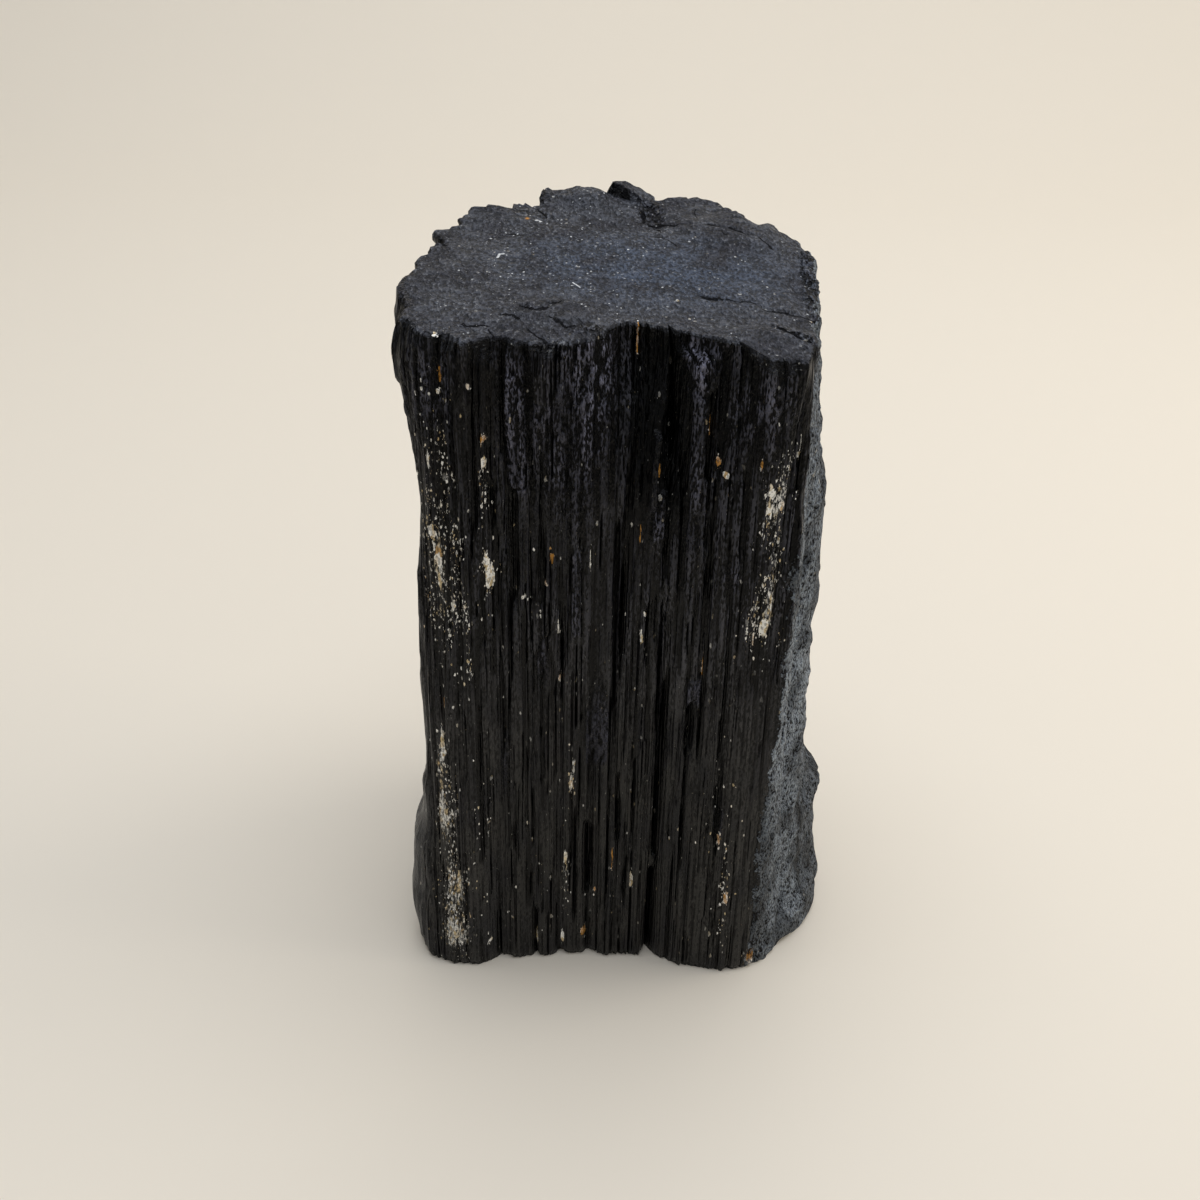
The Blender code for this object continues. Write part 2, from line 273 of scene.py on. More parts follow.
@dataclass(frozen=True)
class ColumnForm:
    """The column's main form, with the same sizes as the solid that it stands for."""

    height: float = 150.0
    front: float = 33.0
    axis: tuple[float, float] = (-5.82, -0.48)
    tilt_x: float = -0.045
    tilt_y: float = 0.05
    foot_bevel: float = 0.7
    body_level: float = 105.0
    rim_level: float = 108.0
    rim: Outline = Outline(
        ((40.2, 0.3), (39.2, 8.1), (37, 12.1), (32.8, 19), (30, 19.2), (25.6, 22.8), (20.9, 28),
         (16.4, 30.4), (12.4, 29.9), (9.6, 27.4), (6.2, 30.8), (3.2, 31.8), (0.8, 31.2), (-0.8, 29.8),
         (-6.2, 31), (-13, 28.4), (-13.9, 23.6), (-19.6, 20.8), (-23.8, 20.8), (-27.9, 15.4), (-31.2, 8),
         (-32.8, 0.6), (-34.8, -5), (-38.3, -13.6), (-38.6, -19.4), (-36.4, -28), (-33, -31.8),
         (-28.6, -32.6), (-23.9, -35), (-17.6, -32.6), (-11.2, -34), (-6.4, -32.8), (0, -31),
         (14.4, -29.2), (23.4, -30), (28.4, -34.6), (34.6, -34.8), (36.6, -28), (38.5, -12)))
    body: Outline = Outline(
        ((43.6, -4), (43.4, 6), (40.6, 15), (34, 23), (24, 29.5), (12, 33), (-2, 33.2), (-14, 29.4),
         (-23.4, 22.6), (-29.6, 13), (-32.4, 1), (-33.6, -12), (-33.7, -24), (-32.6, -30.2), (-28, -33),
         (-21, -33), (-17, -31.4), (-8, -32), (2, -31.2), (11, -31.6), (15, -32.6), (28, -33.6),
         (36.2, -33.2), (38.2, -26), (42.2, -14)))
    foot: Outline = Outline(
        ((46.6, -4), (46, 8), (43, 18), (35, 27), (23, 33), (9, 36.2), (-6, 35.4), (-19, 30.6),
         (-29, 22), (-34.4, 11), (-36.2, -1), (-36.6, -14), (-36.7, -24.4), (-34.7, -31), (-30, -33.8),
         (-24.8, -34.2), (-20.8, -32.6), (-14.8, -31.8), (-9, -31.8), (-2, -30.6), (6, -31.2),
         (12.6, -30.6), (19.5, -33.6), (28.3, -34.8), (34.6, -33.6), (40.4, -28.4), (45.4, -19)))
    # Broad flutes of the front: x, half width, depth, lower and upper end.
    furrows: tuple[Furrow, ...] = many(
        Furrow,
        (-27.5, 1.5, 0.9, 20, 150), (-20.6, 1.6, 1.5, -20, 104), (-13, 1.3, 0.9, 60, 140),
        (-8, 1.5, 1.3, -20, 92), (-0.6, 1.5, 1.3, -20, 60), (3.8, 1.4, 1, 40, 118),
        (13.4, 1.6, 1.7, -20, 96), (20, 1.5, 1, 56, 126), (25.2, 1.4, 1, 10, 84),
        (33.8, 1.5, 1.5, 84, 144))
    hollow: Furrow = Furrow(x=8.6, half_width=5.6, depth=7.4, low=121, high=175)
    # Lumps of the side: azimuth, half width, height, lower and upper end, softness.
    swells: tuple[Swell, ...] = many(
        Swell,
        (-2, 26, 4.4, -30, 33, 3.5), (-15, 19, 2.4, -30, 13, 7), (-20, 12, 0.9, 90, 116, 8),
        (208, 22, 4, 9, 31, 7), (212, 26, 2.6, -30, 12, 8), (209, 18, 1.3, 64, 108, 10),
        (48, 16, 2.4, -30, 46, 8), (118, 14, 2, 34, 92, 9))
    # Lumps and pits of the upper break: x, y, the two half widths, height.
    reliefs: tuple[Relief, ...] = many(
        Relief,
        (3.8, 30.5, 4.2, 5, 2.1), (11.5, 25, 3, 3.6, -1.6), (-6, 27, 7, 4.5, 1), (-24, 10, 9, 9, -0.5),
        (24, 14, 11, 9, 1.2), (-8, -22, 9, 5, 0.6), (36.5, -8, 4, 12, -0.9))
    facet_edge: float = -24.0
    facet_left: float = 20.0
    facet_slope: float = 0.10
    flute_seed: int = 11
    flute_count: int = 34
    flute_half_width: tuple[float, float] = (1.8, 3.6)
    flute_depth: tuple[float, float] = (0.4, 1.3)
    rough_from: float = -40.0
    rough_to: float = 32.0
    rough_fade: float = 7.0
    rough_depth: float = 0.75

    def hollow_depth(self, azimuth: Array, height: Array) -> Array:
        """Depth of the hollow under the rim: a level floor, a steep right wall and a slow left one.

        Args:
            azimuth: directions in radians.
            height: heights above the foot.

        Returns:
            The depth at each place.
        """
        centre = math.atan2(-self.front, self.hollow.x)
        half_angle = self.hollow.half_width * self.front / (self.hollow.x**2 + self.front**2)
        place = turned(azimuth, centre) / half_angle
        across = smooth(-2.1, -0.5, place) * (1.0 - smooth(0.8, 1.2, place))
        return self.hollow.depth * across * smooth(self.hollow.low, self.height - 4.0, height)

    def flutes(self, azimuth: Array, height: Array) -> Array:
        """Depth of the seeded flutes of the sides and back, each a bell across with its own ends.

        Args:
            azimuth: directions in radians.
            height: heights above the foot.

        Returns:
            The depth at each place.
        """
        draw = np.random.default_rng(self.flute_seed)
        depth = np.zeros(np.broadcast(azimuth, height).shape)
        for _ in range(self.flute_count):
            centre = draw.uniform(-40.0, 230.0)
            half_angle = draw.uniform(*self.flute_half_width) / self.front
            strength = draw.uniform(*self.flute_depth)
            low = draw.uniform(-60.0, 90.0)
            length = draw.uniform(40.0, 160.0)
            across = np.exp(-((turned(azimuth, math.radians(centre)) / half_angle) ** 2))
            high = low + length
            along = smooth(low, low + 12.0, height) * (1.0 - smooth(high, high + 12.0, height))
            depth += strength * across * along
        return depth

    def broken(self, azimuth: Array) -> Array:
        """One on the broken right side of the column and zero on its grown faces."""
        degrees = np.degrees(turned(azimuth, 0.0))
        return spaced(self.rough_from, self.rough_to, degrees, self.rough_fade)

    def rough(self, azimuth: Array, height: Array) -> Array:
        """Lumps of the broken side: three crossed waves of height and azimuth.

        Args:
            azimuth: directions in radians.
            height: heights above the foot.

        Returns:
            The height at each place.
        """
        degrees = np.degrees(turned(azimuth, 0.0))
        waves = np.sin(height / 3.7 + degrees / 4.1) + np.sin(height / 2.3 - degrees / 2.9 + 1.3)
        waves = waves + np.sin(height / 7.9 + degrees / 8.7 + 0.6)
        return self.rough_depth * waves / 2.0 * self.broken(azimuth)

    def radius(self, azimuth: Array, height: Array) -> Array:
        """Distance from the axis to the side: outlines blended by height, lumps added, furrows cut.

        Args:
            azimuth: directions in radians.
            height: heights above the foot.

        Returns:
            The distance for each pair, in millimetres.
        """
        rim = self.rim.radius(azimuth)
        body = self.body.radius(azimuth)
        foot = self.foot.radius(azimuth)
        to_foot = 1.0 - np.clip(height / self.body_level, 0.0, 1.0)
        to_rim = smooth(self.rim_level, self.height, height)
        radius = body + (foot - body) * to_foot + (rim - body) * to_rim
        for lump in self.swells:
            radius = radius + lump.at(azimuth, height)
        for furrow in self.furrows:
            radius = radius - furrow.at(azimuth, height, self.front)
        cut = self.hollow_depth(azimuth, height) + self.flutes(azimuth, height)
        return radius - cut + self.rough(azimuth, height)

    def top(self, x: Array, y: Array) -> Array:
        """Height of the upper break: a tilted plane with lumps and pits, bevelled at the right front.

        Args:
            x: places to the right.
            y: places to the back.

        Returns:
            The height at each place.
        """
        height = self.height + self.tilt_x * x + self.tilt_y * (y + self.front)
        for form in self.reliefs:
            height = height + form.at(x, y)
        bevel = np.maximum(self.facet_edge - y, 0.0) * self.facet_slope
        return height - bevel * smooth(self.facet_left - 3.0, self.facet_left + 3.0, x)


# -------------------------------- finer forms


@dataclass(frozen=True)
class Slats:
    """Flat splinters of the prism faces: upright strips a little higher or lower than their neighbours.

    Each has its own width, reach and step. Its long edges are sharp, and its ends are ragged.

    Attributes:
        seed: seed of the draw.
        count: how many strips there are.
        half_width: least and greatest half width; narrow strips are drawn more often.
        reach: least and greatest length.
        step: least and greatest height of the step.
        sunk_share: share of the strips that are sunk.
        edge: half the width of the slope at a long edge.
        ragged: how far the ends are torn up and down.
        narrow_share: share of its step that the narrowest strip keeps.
        window: widest distance at which a strip is worked out.
        jag: pattern of the torn ends.
    """

    seed: int = 21
    count: int = 2300
    half_width: tuple[float, float] = (0.12, 0.95)
    reach: tuple[float, float] = (1.5, 42.0)
    step: tuple[float, float] = (0.07, 0.42)
    sunk_share: float = 0.5
    edge: float = 0.10
    ragged: float = 0.9
    narrow_share: float = 0.35
    window: float = 8.0
    jag: Rumple = Rumple(seed=5, cell_u=0.55, cell_v=1.0)

    def away(self, along: Array, centre: float, girth: float) -> Array:
        """Distance round the column from a strip's middle, the shorter way."""
        return np.abs((along - centre + girth / 2.0) % girth - girth / 2.0)

    def at(self, along: Array, height: Array, girth: float, top: float) -> Array:
        """Adds up the strips: a level step across each, between a ragged lower and upper end.

        Args:
            along: distance round the column, rows by columns.
            height: heights of the grid, rows by columns.
            girth: length once round the column.
            top: height of the upper break.

        Returns:
            The height of the relief over the grid.
        """
        draw = np.random.default_rng(self.seed)
        relief = np.zeros(height.shape)
        for number in range(self.count):
            centre = draw.uniform(0.0, girth)
            half = math.exp(draw.uniform(math.log(self.half_width[0]), math.log(self.half_width[1])))
            reach = draw.uniform(*self.reach)
            low = draw.uniform(-reach, top)
            step = draw.uniform(*self.step)
            step = step * (-1.0 if draw.random() < self.sunk_share else 1.0)
            step = step * min(1.0, self.narrow_share + half)
            inside = self.away(along[0], centre, girth) < self.window
            away = self.away(along[:, inside], centre, girth)
            across = 1.0 - smooth(half - self.edge, half + self.edge, away)
            jag = self.ragged * self.jag.at(along[0, inside], np.full(inside.sum(), number + 0.5))
            part = height[:, inside]
            ends = smooth(-0.5, 0.5, part - low - jag) * smooth(-0.5, 0.5, low + reach - jag - part)
            relief[:, inside] += step * across * ends
        return relief


@dataclass(frozen=True)
class Plate:
    """A named flat strip on the front face, higher or lower than what is beside it.

    Its step is how far it stands out, coarse is how hackly it is, from 0 to 1, and lean is how far it
    moves across the face with each millimetre of height.
    """

    x: float
    half_width: float
    low: float
    high: float
    step: float
    coarse: float = 0.0
    lean: float = 0.0

    def share(self, place: Array, height: Array) -> Array:
        """One on the strip and zero off it, with edges a quarter of a millimetre wide.

        Args:
            place: places across the front face.
            height: heights above the foot.

        Returns:
            The share at each place.
        """
        middle = self.x + self.lean * (height - 0.5 * (self.low + self.high))
        across = 1.0 - smooth(self.half_width - 0.12, self.half_width + 0.12, np.abs(place - middle))
        return across * smooth(-0.4, 0.4, height - self.low) * smooth(-0.4, 0.4, self.high - height)


@dataclass(frozen=True)
class Gashes(Slats):
    """Thin deep clefts between the splinters, dark from their depth and from the shade painted in clefts:
    strips that are all sunk.
    """

    seed: int = 22
    count: int = 1250
    half_width: tuple[float, float] = (0.07, 0.22)
    reach: tuple[float, float] = (1.5, 26.0)
    step: tuple[float, float] = (0.45, 1.60)
    sunk_share: float = 1.0
    edge: float = 0.12


@dataclass(frozen=True)
class Patch:
    """An oval place on a face: its middle, and its half width and half height."""

    x: float
    z: float
    half_x: float
    half_z: float
    amount: float = 1.0

    def at(self, x: Array, z: Array) -> Array:
        """A bell over the patch: the amount in its middle, and next to nothing past its edge."""
        across, along = (x - self.x) / self.half_x, (z - self.z) / self.half_z
        return self.amount * np.exp(-(across**2) - along**2)


@dataclass(frozen=True)
class Crack:
    """A crack across the upper break, through points seen from above, and half its width."""

    points: tuple[tuple[float, float], ...]
    half_width: float = 0.40

    def at(self, x: Array, y: Array) -> tuple[Array, Array, Array]:
        """Measures points against the line.

        Args:
            x: places to the right.
            y: places to the back.

        Returns:
            The signed distance to the nearest stretch's own line, the distance to the stretch, and how
            far past the crack's ends the point lies.
        """
        offset, away, past = np.zeros(x.shape), np.full(x.shape, np.inf), np.zeros(x.shape)
        last = len(self.points) - 2
        for number, (low, high) in enumerate(zip(self.points[:-1], self.points[1:])):
            length = math.dist(low, high)
            way_x, way_y = (high[0] - low[0]) / length, (high[1] - low[1]) / length
            along = (x - low[0]) * way_x + (y - low[1]) * way_y
            off = (x - low[0]) * way_y - (y - low[1]) * way_x
            short = np.maximum(-along, 0.0)
            over = np.maximum(along - length, 0.0)
            reach = np.hypot(off, short + over)
            nearer = reach < away
            beyond = short * (number == 0) + over * (number == last)
            offset, past = np.where(nearer, off, offset), np.where(nearer, beyond, past)
            away = np.where(nearer, reach, away)
        return offset, away, past


@dataclass(frozen=True)
class Striations:
    """Lengthwise growth lines of the prism faces, from broad ribs down to lines half a millimetre wide."""

    girth: float
    broad: tuple[float, float, float] = (6.5, 130.0, 0.34)
    rib: tuple[float, float, float] = (2.1, 200.0, 0.10)
    line: tuple[float, float, float] = (0.95, 130.0, 0.15)
    hair: tuple[float, float, float] = (0.44, 32.0, 0.24)
    seed: int = 40

    def layer(self, size: tuple[float, float, float], order: int) -> Rumple:
        """One layer of lines, from its spacing, its length and its height."""
        return Rumple(self.seed + order, size[0], size[1], size[2], span_u=self.girth)

    def at(self, along: Array, height: Array) -> Array:
        """Sum of the layers. Ribs are creased: one minus twice their size, so valleys are sharp.

        Args:
            along: distances round the column.
            height: heights above the foot.

        Returns:
            The relief at each place.
        """
        broad = self.layer(self.broad, 0).at(along, height)
        rib = self.layer(self.rib, 1).at(along, height)
        line = self.layer(self.line, 2).at(along, height)
        hair = self.layer(self.hair, 3).at(along, height)
        creased = self.rib[2] * (1.0 - 2.0 * np.sqrt(np.abs(rib) / self.rib[2]))
        return broad + creased * 0.8 + line + hair


@dataclass(frozen=True)
class Grainy:
    """Relief of a broken surface: lumps of three sizes, and pits where the middle size dips."""

    seed: int
    coarse: float = 6.0
    middle: float = 2.4
    fine: float = 1.1
    amount: float = 1.0

    def at(self, u: Array, v: Array) -> Array:
        """Sum of the lumps, less the square of the dips.

        Args:
            u: first coordinates.
            v: second coordinates.

        Returns:
            The relief at each place.
        """
        coarse = Rumple(self.seed, self.coarse, self.coarse, 0.22).at(u, v)
        middle = Rumple(self.seed + 1, self.middle, self.middle, 0.34).at(u, v)
        fine = Rumple(self.seed + 2, self.fine, self.fine, 0.24).at(u, v)
        pits = np.square(np.minimum(middle, 0.0)) * 3.0
        return self.amount * (coarse + middle + fine - pits)


@dataclass(frozen=True)
class Grain:
    """A pale mineral grain lodged in a furrow: its place, half sizes, and how rusty it is, 0 to 1."""

    x: float
    z: float
    half_x: float
    half_z: float
    rust: float


class Zone(Enum):
    """Values that the mesh carries at each vertex, by the names that the material reads.

    Furrow is a half on level ground, one in a deep cleft, where the material paints shade, and under a half
    on a crest, where it paints a highlight; on the upper break it is one on the block's wall, which the
    material darkens. Tone is the stone's own lighter and darker places together with painted shade in the
    hollow, the front's clefts and a seam of the broken side. Split is the signed distance to the nearest
    crack of the upper break, and gape is that crack's half width, both in millimetres. The others go from 0
    to 1.
    """

    UPPER = "upper_break"
    BROKEN = "broken_side"
    # Painted shade in the front's clefts and painted highlight on its crests; on the upper break, the block's
    # wall.
    RELIEF_SHADE_AND_WALL = "furrow"
    HACKLE = "hackle"
    DUST = "dust"
    RUST = "rust"
    FILM = "film"
    WORN = "worn"
    # The stone's own tone together with painted shade in the hollow, the clefts and a seam.
    TONE_AND_SHADE = "tone"
    SPLIT = "split"
    GAPE = "gape"


@dataclass(frozen=True)
class SideGrid:
    """Where the points of the side's grid are, which its relief and zones are worked out from.

    Attributes:
        azimuth: azimuth of each column, in radians.
        degrees: the same in degrees, from -180 to 180.
        height: height of each point, rows by columns.
        girth: length once round the column.
        across: distance round the column, moved so that lines on the leaning front stay plumb.
        place: place across the front face; far away on other faces.
        past_border: degrees past the broken side's front border.
        broken: one on the broken side and zero on grown faces.
    """

    azimuth: Array
    degrees: Array
    height: Array
    girth: float
    across: Array
    place: Array
    past_border: Array
    broken: Array


@dataclass
class TourmalineStone:
    """The whole stone: its mesh, the zones that its material reads, and its place in the frame.

    Attributes:
        columns: how many columns the mesh has round the stone.
        front_weight: how much closer its columns stand on the front than at the back.
        side_weight: the same on the right side.
        row_runs: rows of the mesh: lower end, upper end and how many rows between.
        cap_first_step: distance from the rim to the first ring of the upper break.
        cap_growth: how much wider each further step is.
        cap_slimmest: width of a cap triangle, as a share of its step, at which columns are halved.
        rim_bevel: drop of the rim below the upper break.
        window: columns on both sides that a furrow's depth is measured against, for the painted shade and
            highlight.
        sunk_depth: depth at which a furrow counts as fully sunk and gets the full painted shade.
        chip: depth of the chips along the rim.
        chipped_height: how far the chips reach down the side.
        calmed: share of the solid's coarse waves on the broken side that finer lumps replace.
        thickest_dust: the most that a field of small grains covers.
        pit: the granular pit of the upper break.
        pit_lean: how far it leans to the right with each millimetre to the front.
        wall_foot: the left end of the block's wall, from the axis.
        wall_way: how far the wall runs to the right and to the front, and its length.
        wall_height: height of the block on the back edge.
    """

    form: ColumnForm = field(default_factory=ColumnForm)
    slats: Slats = field(default_factory=Slats)
    gashes: Gashes = field(default_factory=Gashes)
    columns: int = 704
    front_weight: float = 3.3
    side_weight: float = 2.1
    row_runs: tuple[tuple[float, float, int], ...] = (
        (0.0, 20.0, 12), (20.0, 120.0, 62), (120.0, 143.0, 32), (143.0, 150.0, 14))
    cap_first_step: float = 0.50
    cap_growth: float = 1.03
    cap_slimmest: float = 0.45
    rim_bevel: float = 0.35
    window: int = 7
    sunk_depth: float = 1.1
    chip: float = 1.2
    chipped_height: float = 9.0
    calmed: float = 0.78
    thickest_dust: float = 0.52
    pit: Patch = Patch(8.4, 20.5, 2.2, 4.6, 1.5)
    pit_lean: float = 0.15
    wall_foot: tuple[float, float] = (0.2, 28.2)
    wall_way: tuple[float, float, float] = (4.2, 2.2, 4.74)
    wall_height: float = 2.3
    # Lumps and dips of the upper break: x, y, the two half widths, height.
    rises: tuple[Relief, ...] = many(
        Relief,
        (26, 23, 6, 4.5, 0.5), (28.2, 19.6, 2.4, 3.5, -0.8), (-14.2, 27, 1.8, 4, 1),
        (-9.3, 29, 3, 4, -0.6), (29.5, -32, 15, 10, 1.3))
    # Cracks of the upper break, from the left to the right and the back: points, half width.
    cracks: tuple[Crack, ...] = many(
        Crack,
        (((-17.7, -24.2), (-16.4, -24.7), (-15.1, -25.5)), 0.35),
        (((-14.5, -21.1), (-12.8, -22.6), (-11.2, -22.4), (-10, -20.9), (-8.1, -18.8)), 0.45),
        (((-24.2, -28.6), (-19.9, -28.1)), 0.28), (((-19.8, -29.5), (-18.7, -33.4)), 0.24),
        (((-13, -28.6), (-10.9, -31.6), (-9.6, -33)), 0.32),
        (((-9.5, -24.7), (-7, -26.9), (-5.4, -26.7)), 0.35),
        (((6.5, 22.1), (7, 17.8), (8.5, 16.4), (10.2, 17.2)), 0.42),
        (((10.6, 16.8), (15.7, 16.4)), 0.26), (((9, 15), (9.9, 13.5)), 0.28),
        (((9.2, 10.7), (11.2, 10), (12.8, 7.2)), 0.26), (((19, 15.3), (23.1, 14.4), (27, 11.5)), 0.35),
        (((21.5, 12), (22.4, 11.2)), 0.28), (((28.7, 10.6), (30.7, 7.8)), 0.24),
        (((16.9, 23.7), (17.3, 19.4)), 0.18), (((17.2, -12.8), (18.7, -13.9), (20.8, -13.2)), 0.50),
        (((20.8, -13.6), (26.2, -14.2)), 0.28), (((27.8, -16.2), (35.6, -17.8)), 0.30),
        (((29.4, -22.6), (31.3, -25.3), (34.7, -28.2)), 0.41), (((-13.7, 26.6), (-12.9, 23.5)), 0.30),
        (((-13.5, 20.1), (-11.5, 17.2)), 0.36), (((-31.2, 4.9), (-30.2, 1.9)), 0.34),
        (((-18.8, 8.6), (-15.6, 8.2)), 0.26))
    # Torn spots of the upper break: x, y, the two half widths, amount.
    torn_spots: tuple[Patch, ...] = many(
        Patch,
        (-31, 4, 1.2, 2.2), (-13.2, 25.6, 0.9, 2.4), (-12.2, 18.4, 1.5, 1.8),
        (-16.6, 18.6, 1.2, 1.6, 0.8), (37.4, -3, 1.3, 9))
    # Lumps too fine for the solid: azimuth, half width, height, lower and upper end, softness.
    dressing: tuple[Swell, ...] = many(
        Swell,
        (-147, 12, -2.4, 147.5, 200, 5), (-6, 16, 1.2, 28, 42, 3), (-154, 22, 1.3, 28, 46, 2),
        (46, 14, 1.2, 120, 200, 14), (113.5, 5, 1.6, 130, 200, 6), (166, 5, 1.2, 130, 200, 6),
        (-4, 24, -0.7, 54, 84, 8), (-6, 24, -0.7, 96, 134, 8), (-28, 18, 1.6, -30, 9, 5),
        (-165, 11, -1.4, 122, 190, 14))
    # The broken side's front border: height, azimuth in degrees.
    border: tuple[tuple[float, float], ...] = (
        (5, -44.4), (16, -44.5), (30, -44.6), (42, -43.4), (56, -43.6), (62, -42.8),
        (80, -42.3), (98, -42.5), (108, -42.4), (124, -40.6), (141, -39.6), (150, -39))
    # Named clefts of the front: x, half width, depth, lower and upper end, softness of the ends.
    deep_furrows: tuple[Furrow, ...] = many(
        Furrow,
        (-23.2, 0.9, 0.9, 112, 137, 2.5), (-17.8, 0.7, 1.1, 121, 149, 2.5),
        (-16.4, 1, 1.3, 96, 121, 1.2), (-19.1, 0.5, 0.9, 94, 112, 2), (-17.1, 0.4, 1, 76, 98, 3),
        (-18.9, 0.4, 0.8, 58, 82, 3), (-10.9, 0.5, 0.9, 97, 113, 2), (3.1, 0.4, 1.1, 70, 113, 4),
        (4.4, 0.6, 1.2, 84, 104, 3), (2.6, 0.25, 0.7, 18, 72, 4), (12.4, 1, 1, 106, 124, 3),
        (10.9, 0.5, 0.7, 88, 98, 2), (11.9, 0.35, 0.9, 66, 98, 3), (13.2, 0.55, 1.5, 50, 78, 4),
        (13.1, 0.9, 1.9, 30, 53, 2), (12.8, 1, 2, -9, 26, 1.5), (18.6, 0.9, 1.4, 64, 74.5, 0.9),
        (20.5, 0.4, 1, 60, 76, 3), (18.2, 0.5, 1.2, 30, 66, 4), (16.8, 0.35, 0.8, -5, 34, 4),
        (21.2, 0.8, 1, 125, 149, 3), (24.8, 0.4, 0.9, 62, 102, 3), (25.8, 0.7, 0.8, 36, 52, 2),
        (-1.9, 0.75, 1.2, 19, 39.5, 1), (-4.3, 0.35, 0.9, 12, 44, 3), (-12.7, 0.35, 0.8, 28, 50, 3),
        (-12.8, 0.7, 1.3, -9, 15, 1.5), (-18.2, 0.35, 0.7, 34, 52, 3), (-20.7, 0.6, 1.1, -9, 13, 2),
        (-23.2, 0.35, 0.8, 31, 49, 3), (35.4, 0.5, 1.1, 96, 132, 4), (16.4, 2.8, 2.6, 147.2, 170, 1),
        (-20.6, 1.7, 1.3, 147.5, 170, 1.6), (-0.8, 4.6, 1.6, 143, 170, 5), (13, 2.2, 2.8, 124, 170, 7),
        (4.6, 3.2, -2.4, 130, 170, 7), (9.4, 1.9, -3.4, 132, 170, 8))
    # Flat splinters of the front: x, half width, lower and upper end, step, coarseness, lean.
    plates: tuple[Plate, ...] = many(
        Plate,
        (-10.4, 1.6, 139, 149.5, 0.7), (-15.3, 1.7, 120, 147.6, 0.5, 0.9), (-19.8, 1, 120, 144, -0.3),
        (-20.9, 0.5, 84, 98, 0.4), (-17.9, 0.6, 112, 128, 0.5), (5, 0.7, 118, 150, -0.9),
        (8.9, 0.6, 118, 132, 2.2, 0.4), (11, 1.5, 110.8, 120.6, 0.5, 1),
        (16.6, 0.9, 118, 139.5, 0.8, 0.4), (15.2, 0.8, 141, 150, 1.3, 1, -0.48),
        (18.9, 0.8, 124, 141, -0.9), (18.5, 1.5, 73.2, 79.6, 0.8, 1), (18.4, 0.9, 61, 73.2, -1.3),
        (15.5, 1.5, 62, 86, 0.4), (34.6, 1.1, 97, 124, 0.5), (25.7, 0.9, 39, 46.7, -0.8, 1),
        (0, 2.1, 56, 70, -0.3, 1), (-1.2, 0.8, 20, 38, -1), (13, 0.8, 30, 49.7, -1.2),
        (12.6, 0.8, 5, 25, -1.4), (-12.4, 0.6, 84, 96, 0.5), (-4.4, 0.9, 88, 108, 0.4, 0.5),
        (27.4, 1, 60, 95, 0.3))
    # Hackly patches of the front: x, z, half width, half height, amount.
    hackles: tuple[Patch, ...] = many(
        Patch,
        (-13, 138, 5.4, 14, 0.68), (-2.2, 146, 4.4, 16, 1.2), (-5, 124, 4.6, 13, 0.68),
        (-30, 140, 4.6, 9, 0.8), (10.2, 115, 1.9, 4.6, 0.9), (16.6, 112, 2.2, 8, 0.5),
        (0.2, 66, 2.1, 10, 0.9), (18.4, 76, 1.5, 2.4), (24.2, 104, 2, 3.4, 0.7),
        (17.6, 147, 3.4, 3.8, 0.9), (15.9, 142, 1.3, 5, 0.8), (-11, 82, 1.3, 7, 0.7),
        (-18.4, 57, 1.2, 10, 0.6), (30, 140, 5, 9, 0.55), (24, 136, 4, 10, 0.4))
    # Darker patches of the front, most of them painted shade down its named clefts and in the hollow, then
    # lighter ones: x, z, half width, half height, amount.
    tone_and_shade_patches: tuple[Patch, ...] = many(
        Patch,
        (-14, 104, 8, 44, -0.06), (-29.5, 112, 4, 30, -0.2), (31, 108, 3, 18, -0.1),
        (12.9, 14, 0.6, 13, -0.5), (13.2, 42, 0.5, 11, -0.45), (-20.6, 4, 0.5, 9, -0.4),
        (-12.8, 6, 0.5, 8, -0.4), (-1.4, 30, 0.6, 9, -0.3), (-21.4, 142, 1.4, 8, -0.3),
        (-23.6, 124, 1.2, 10, -0.22), (-15.8, 109, 1.3, 12, -0.36), (-13.2, 146, 0.9, 5, -0.2),
        (6.6, 118, 1.6, 12, -0.22), (12.8, 116, 1.6, 8, -0.2), (20, 139, 1.6, 9, -0.34),
        (3, 96, 1.1, 13, -0.24), (18.6, 68, 1, 7, -0.36), (10.6, 90, 1, 8, -0.2),
        (25.8, 46, 0.8, 8, -0.3), (-10.2, 112, 1, 9, -0.22), (-18.2, 56, 0.9, 12, -0.12),
        (-30.5, 146, 3.6, 7, 0.14), (-2, 148, 3.6, 8, 0.26), (-2.6, 137, 3, 6, 0.14),
        (-15.2, 140, 1.6, 9, 0.12), (-10.4, 144, 1.3, 5, 0.14), (15.6, 146, 1.8, 4.4, 0.34),
        (16.6, 128, 0.9, 12, 0.1), (28, 142, 5, 6, 0.14), (34.6, 110, 1, 14, 0.16),
        (30, 40, 6, 44, 0.14), (20, 14, 5, 16, 0.08), (-28, 28, 7, 32, 0.21), (16, 84, 1.2, 8, 0.14),
        (-16, 66, 3, 16, 0.06))
    # Places where the upper break rolls over the rim: x, 0, half width, 1, and how far it rolls down.
    lips: tuple[Patch, ...] = many(
        Patch,
        (-21.1, 0, 1.2, 1, 1.8), (-20.1, 0, 0.7, 1, 2.4), (-27, 0, 3, 1, 1.2), (-9, 0, 2, 1, 1.4),
        (30, 0, 5, 1, 1.6))
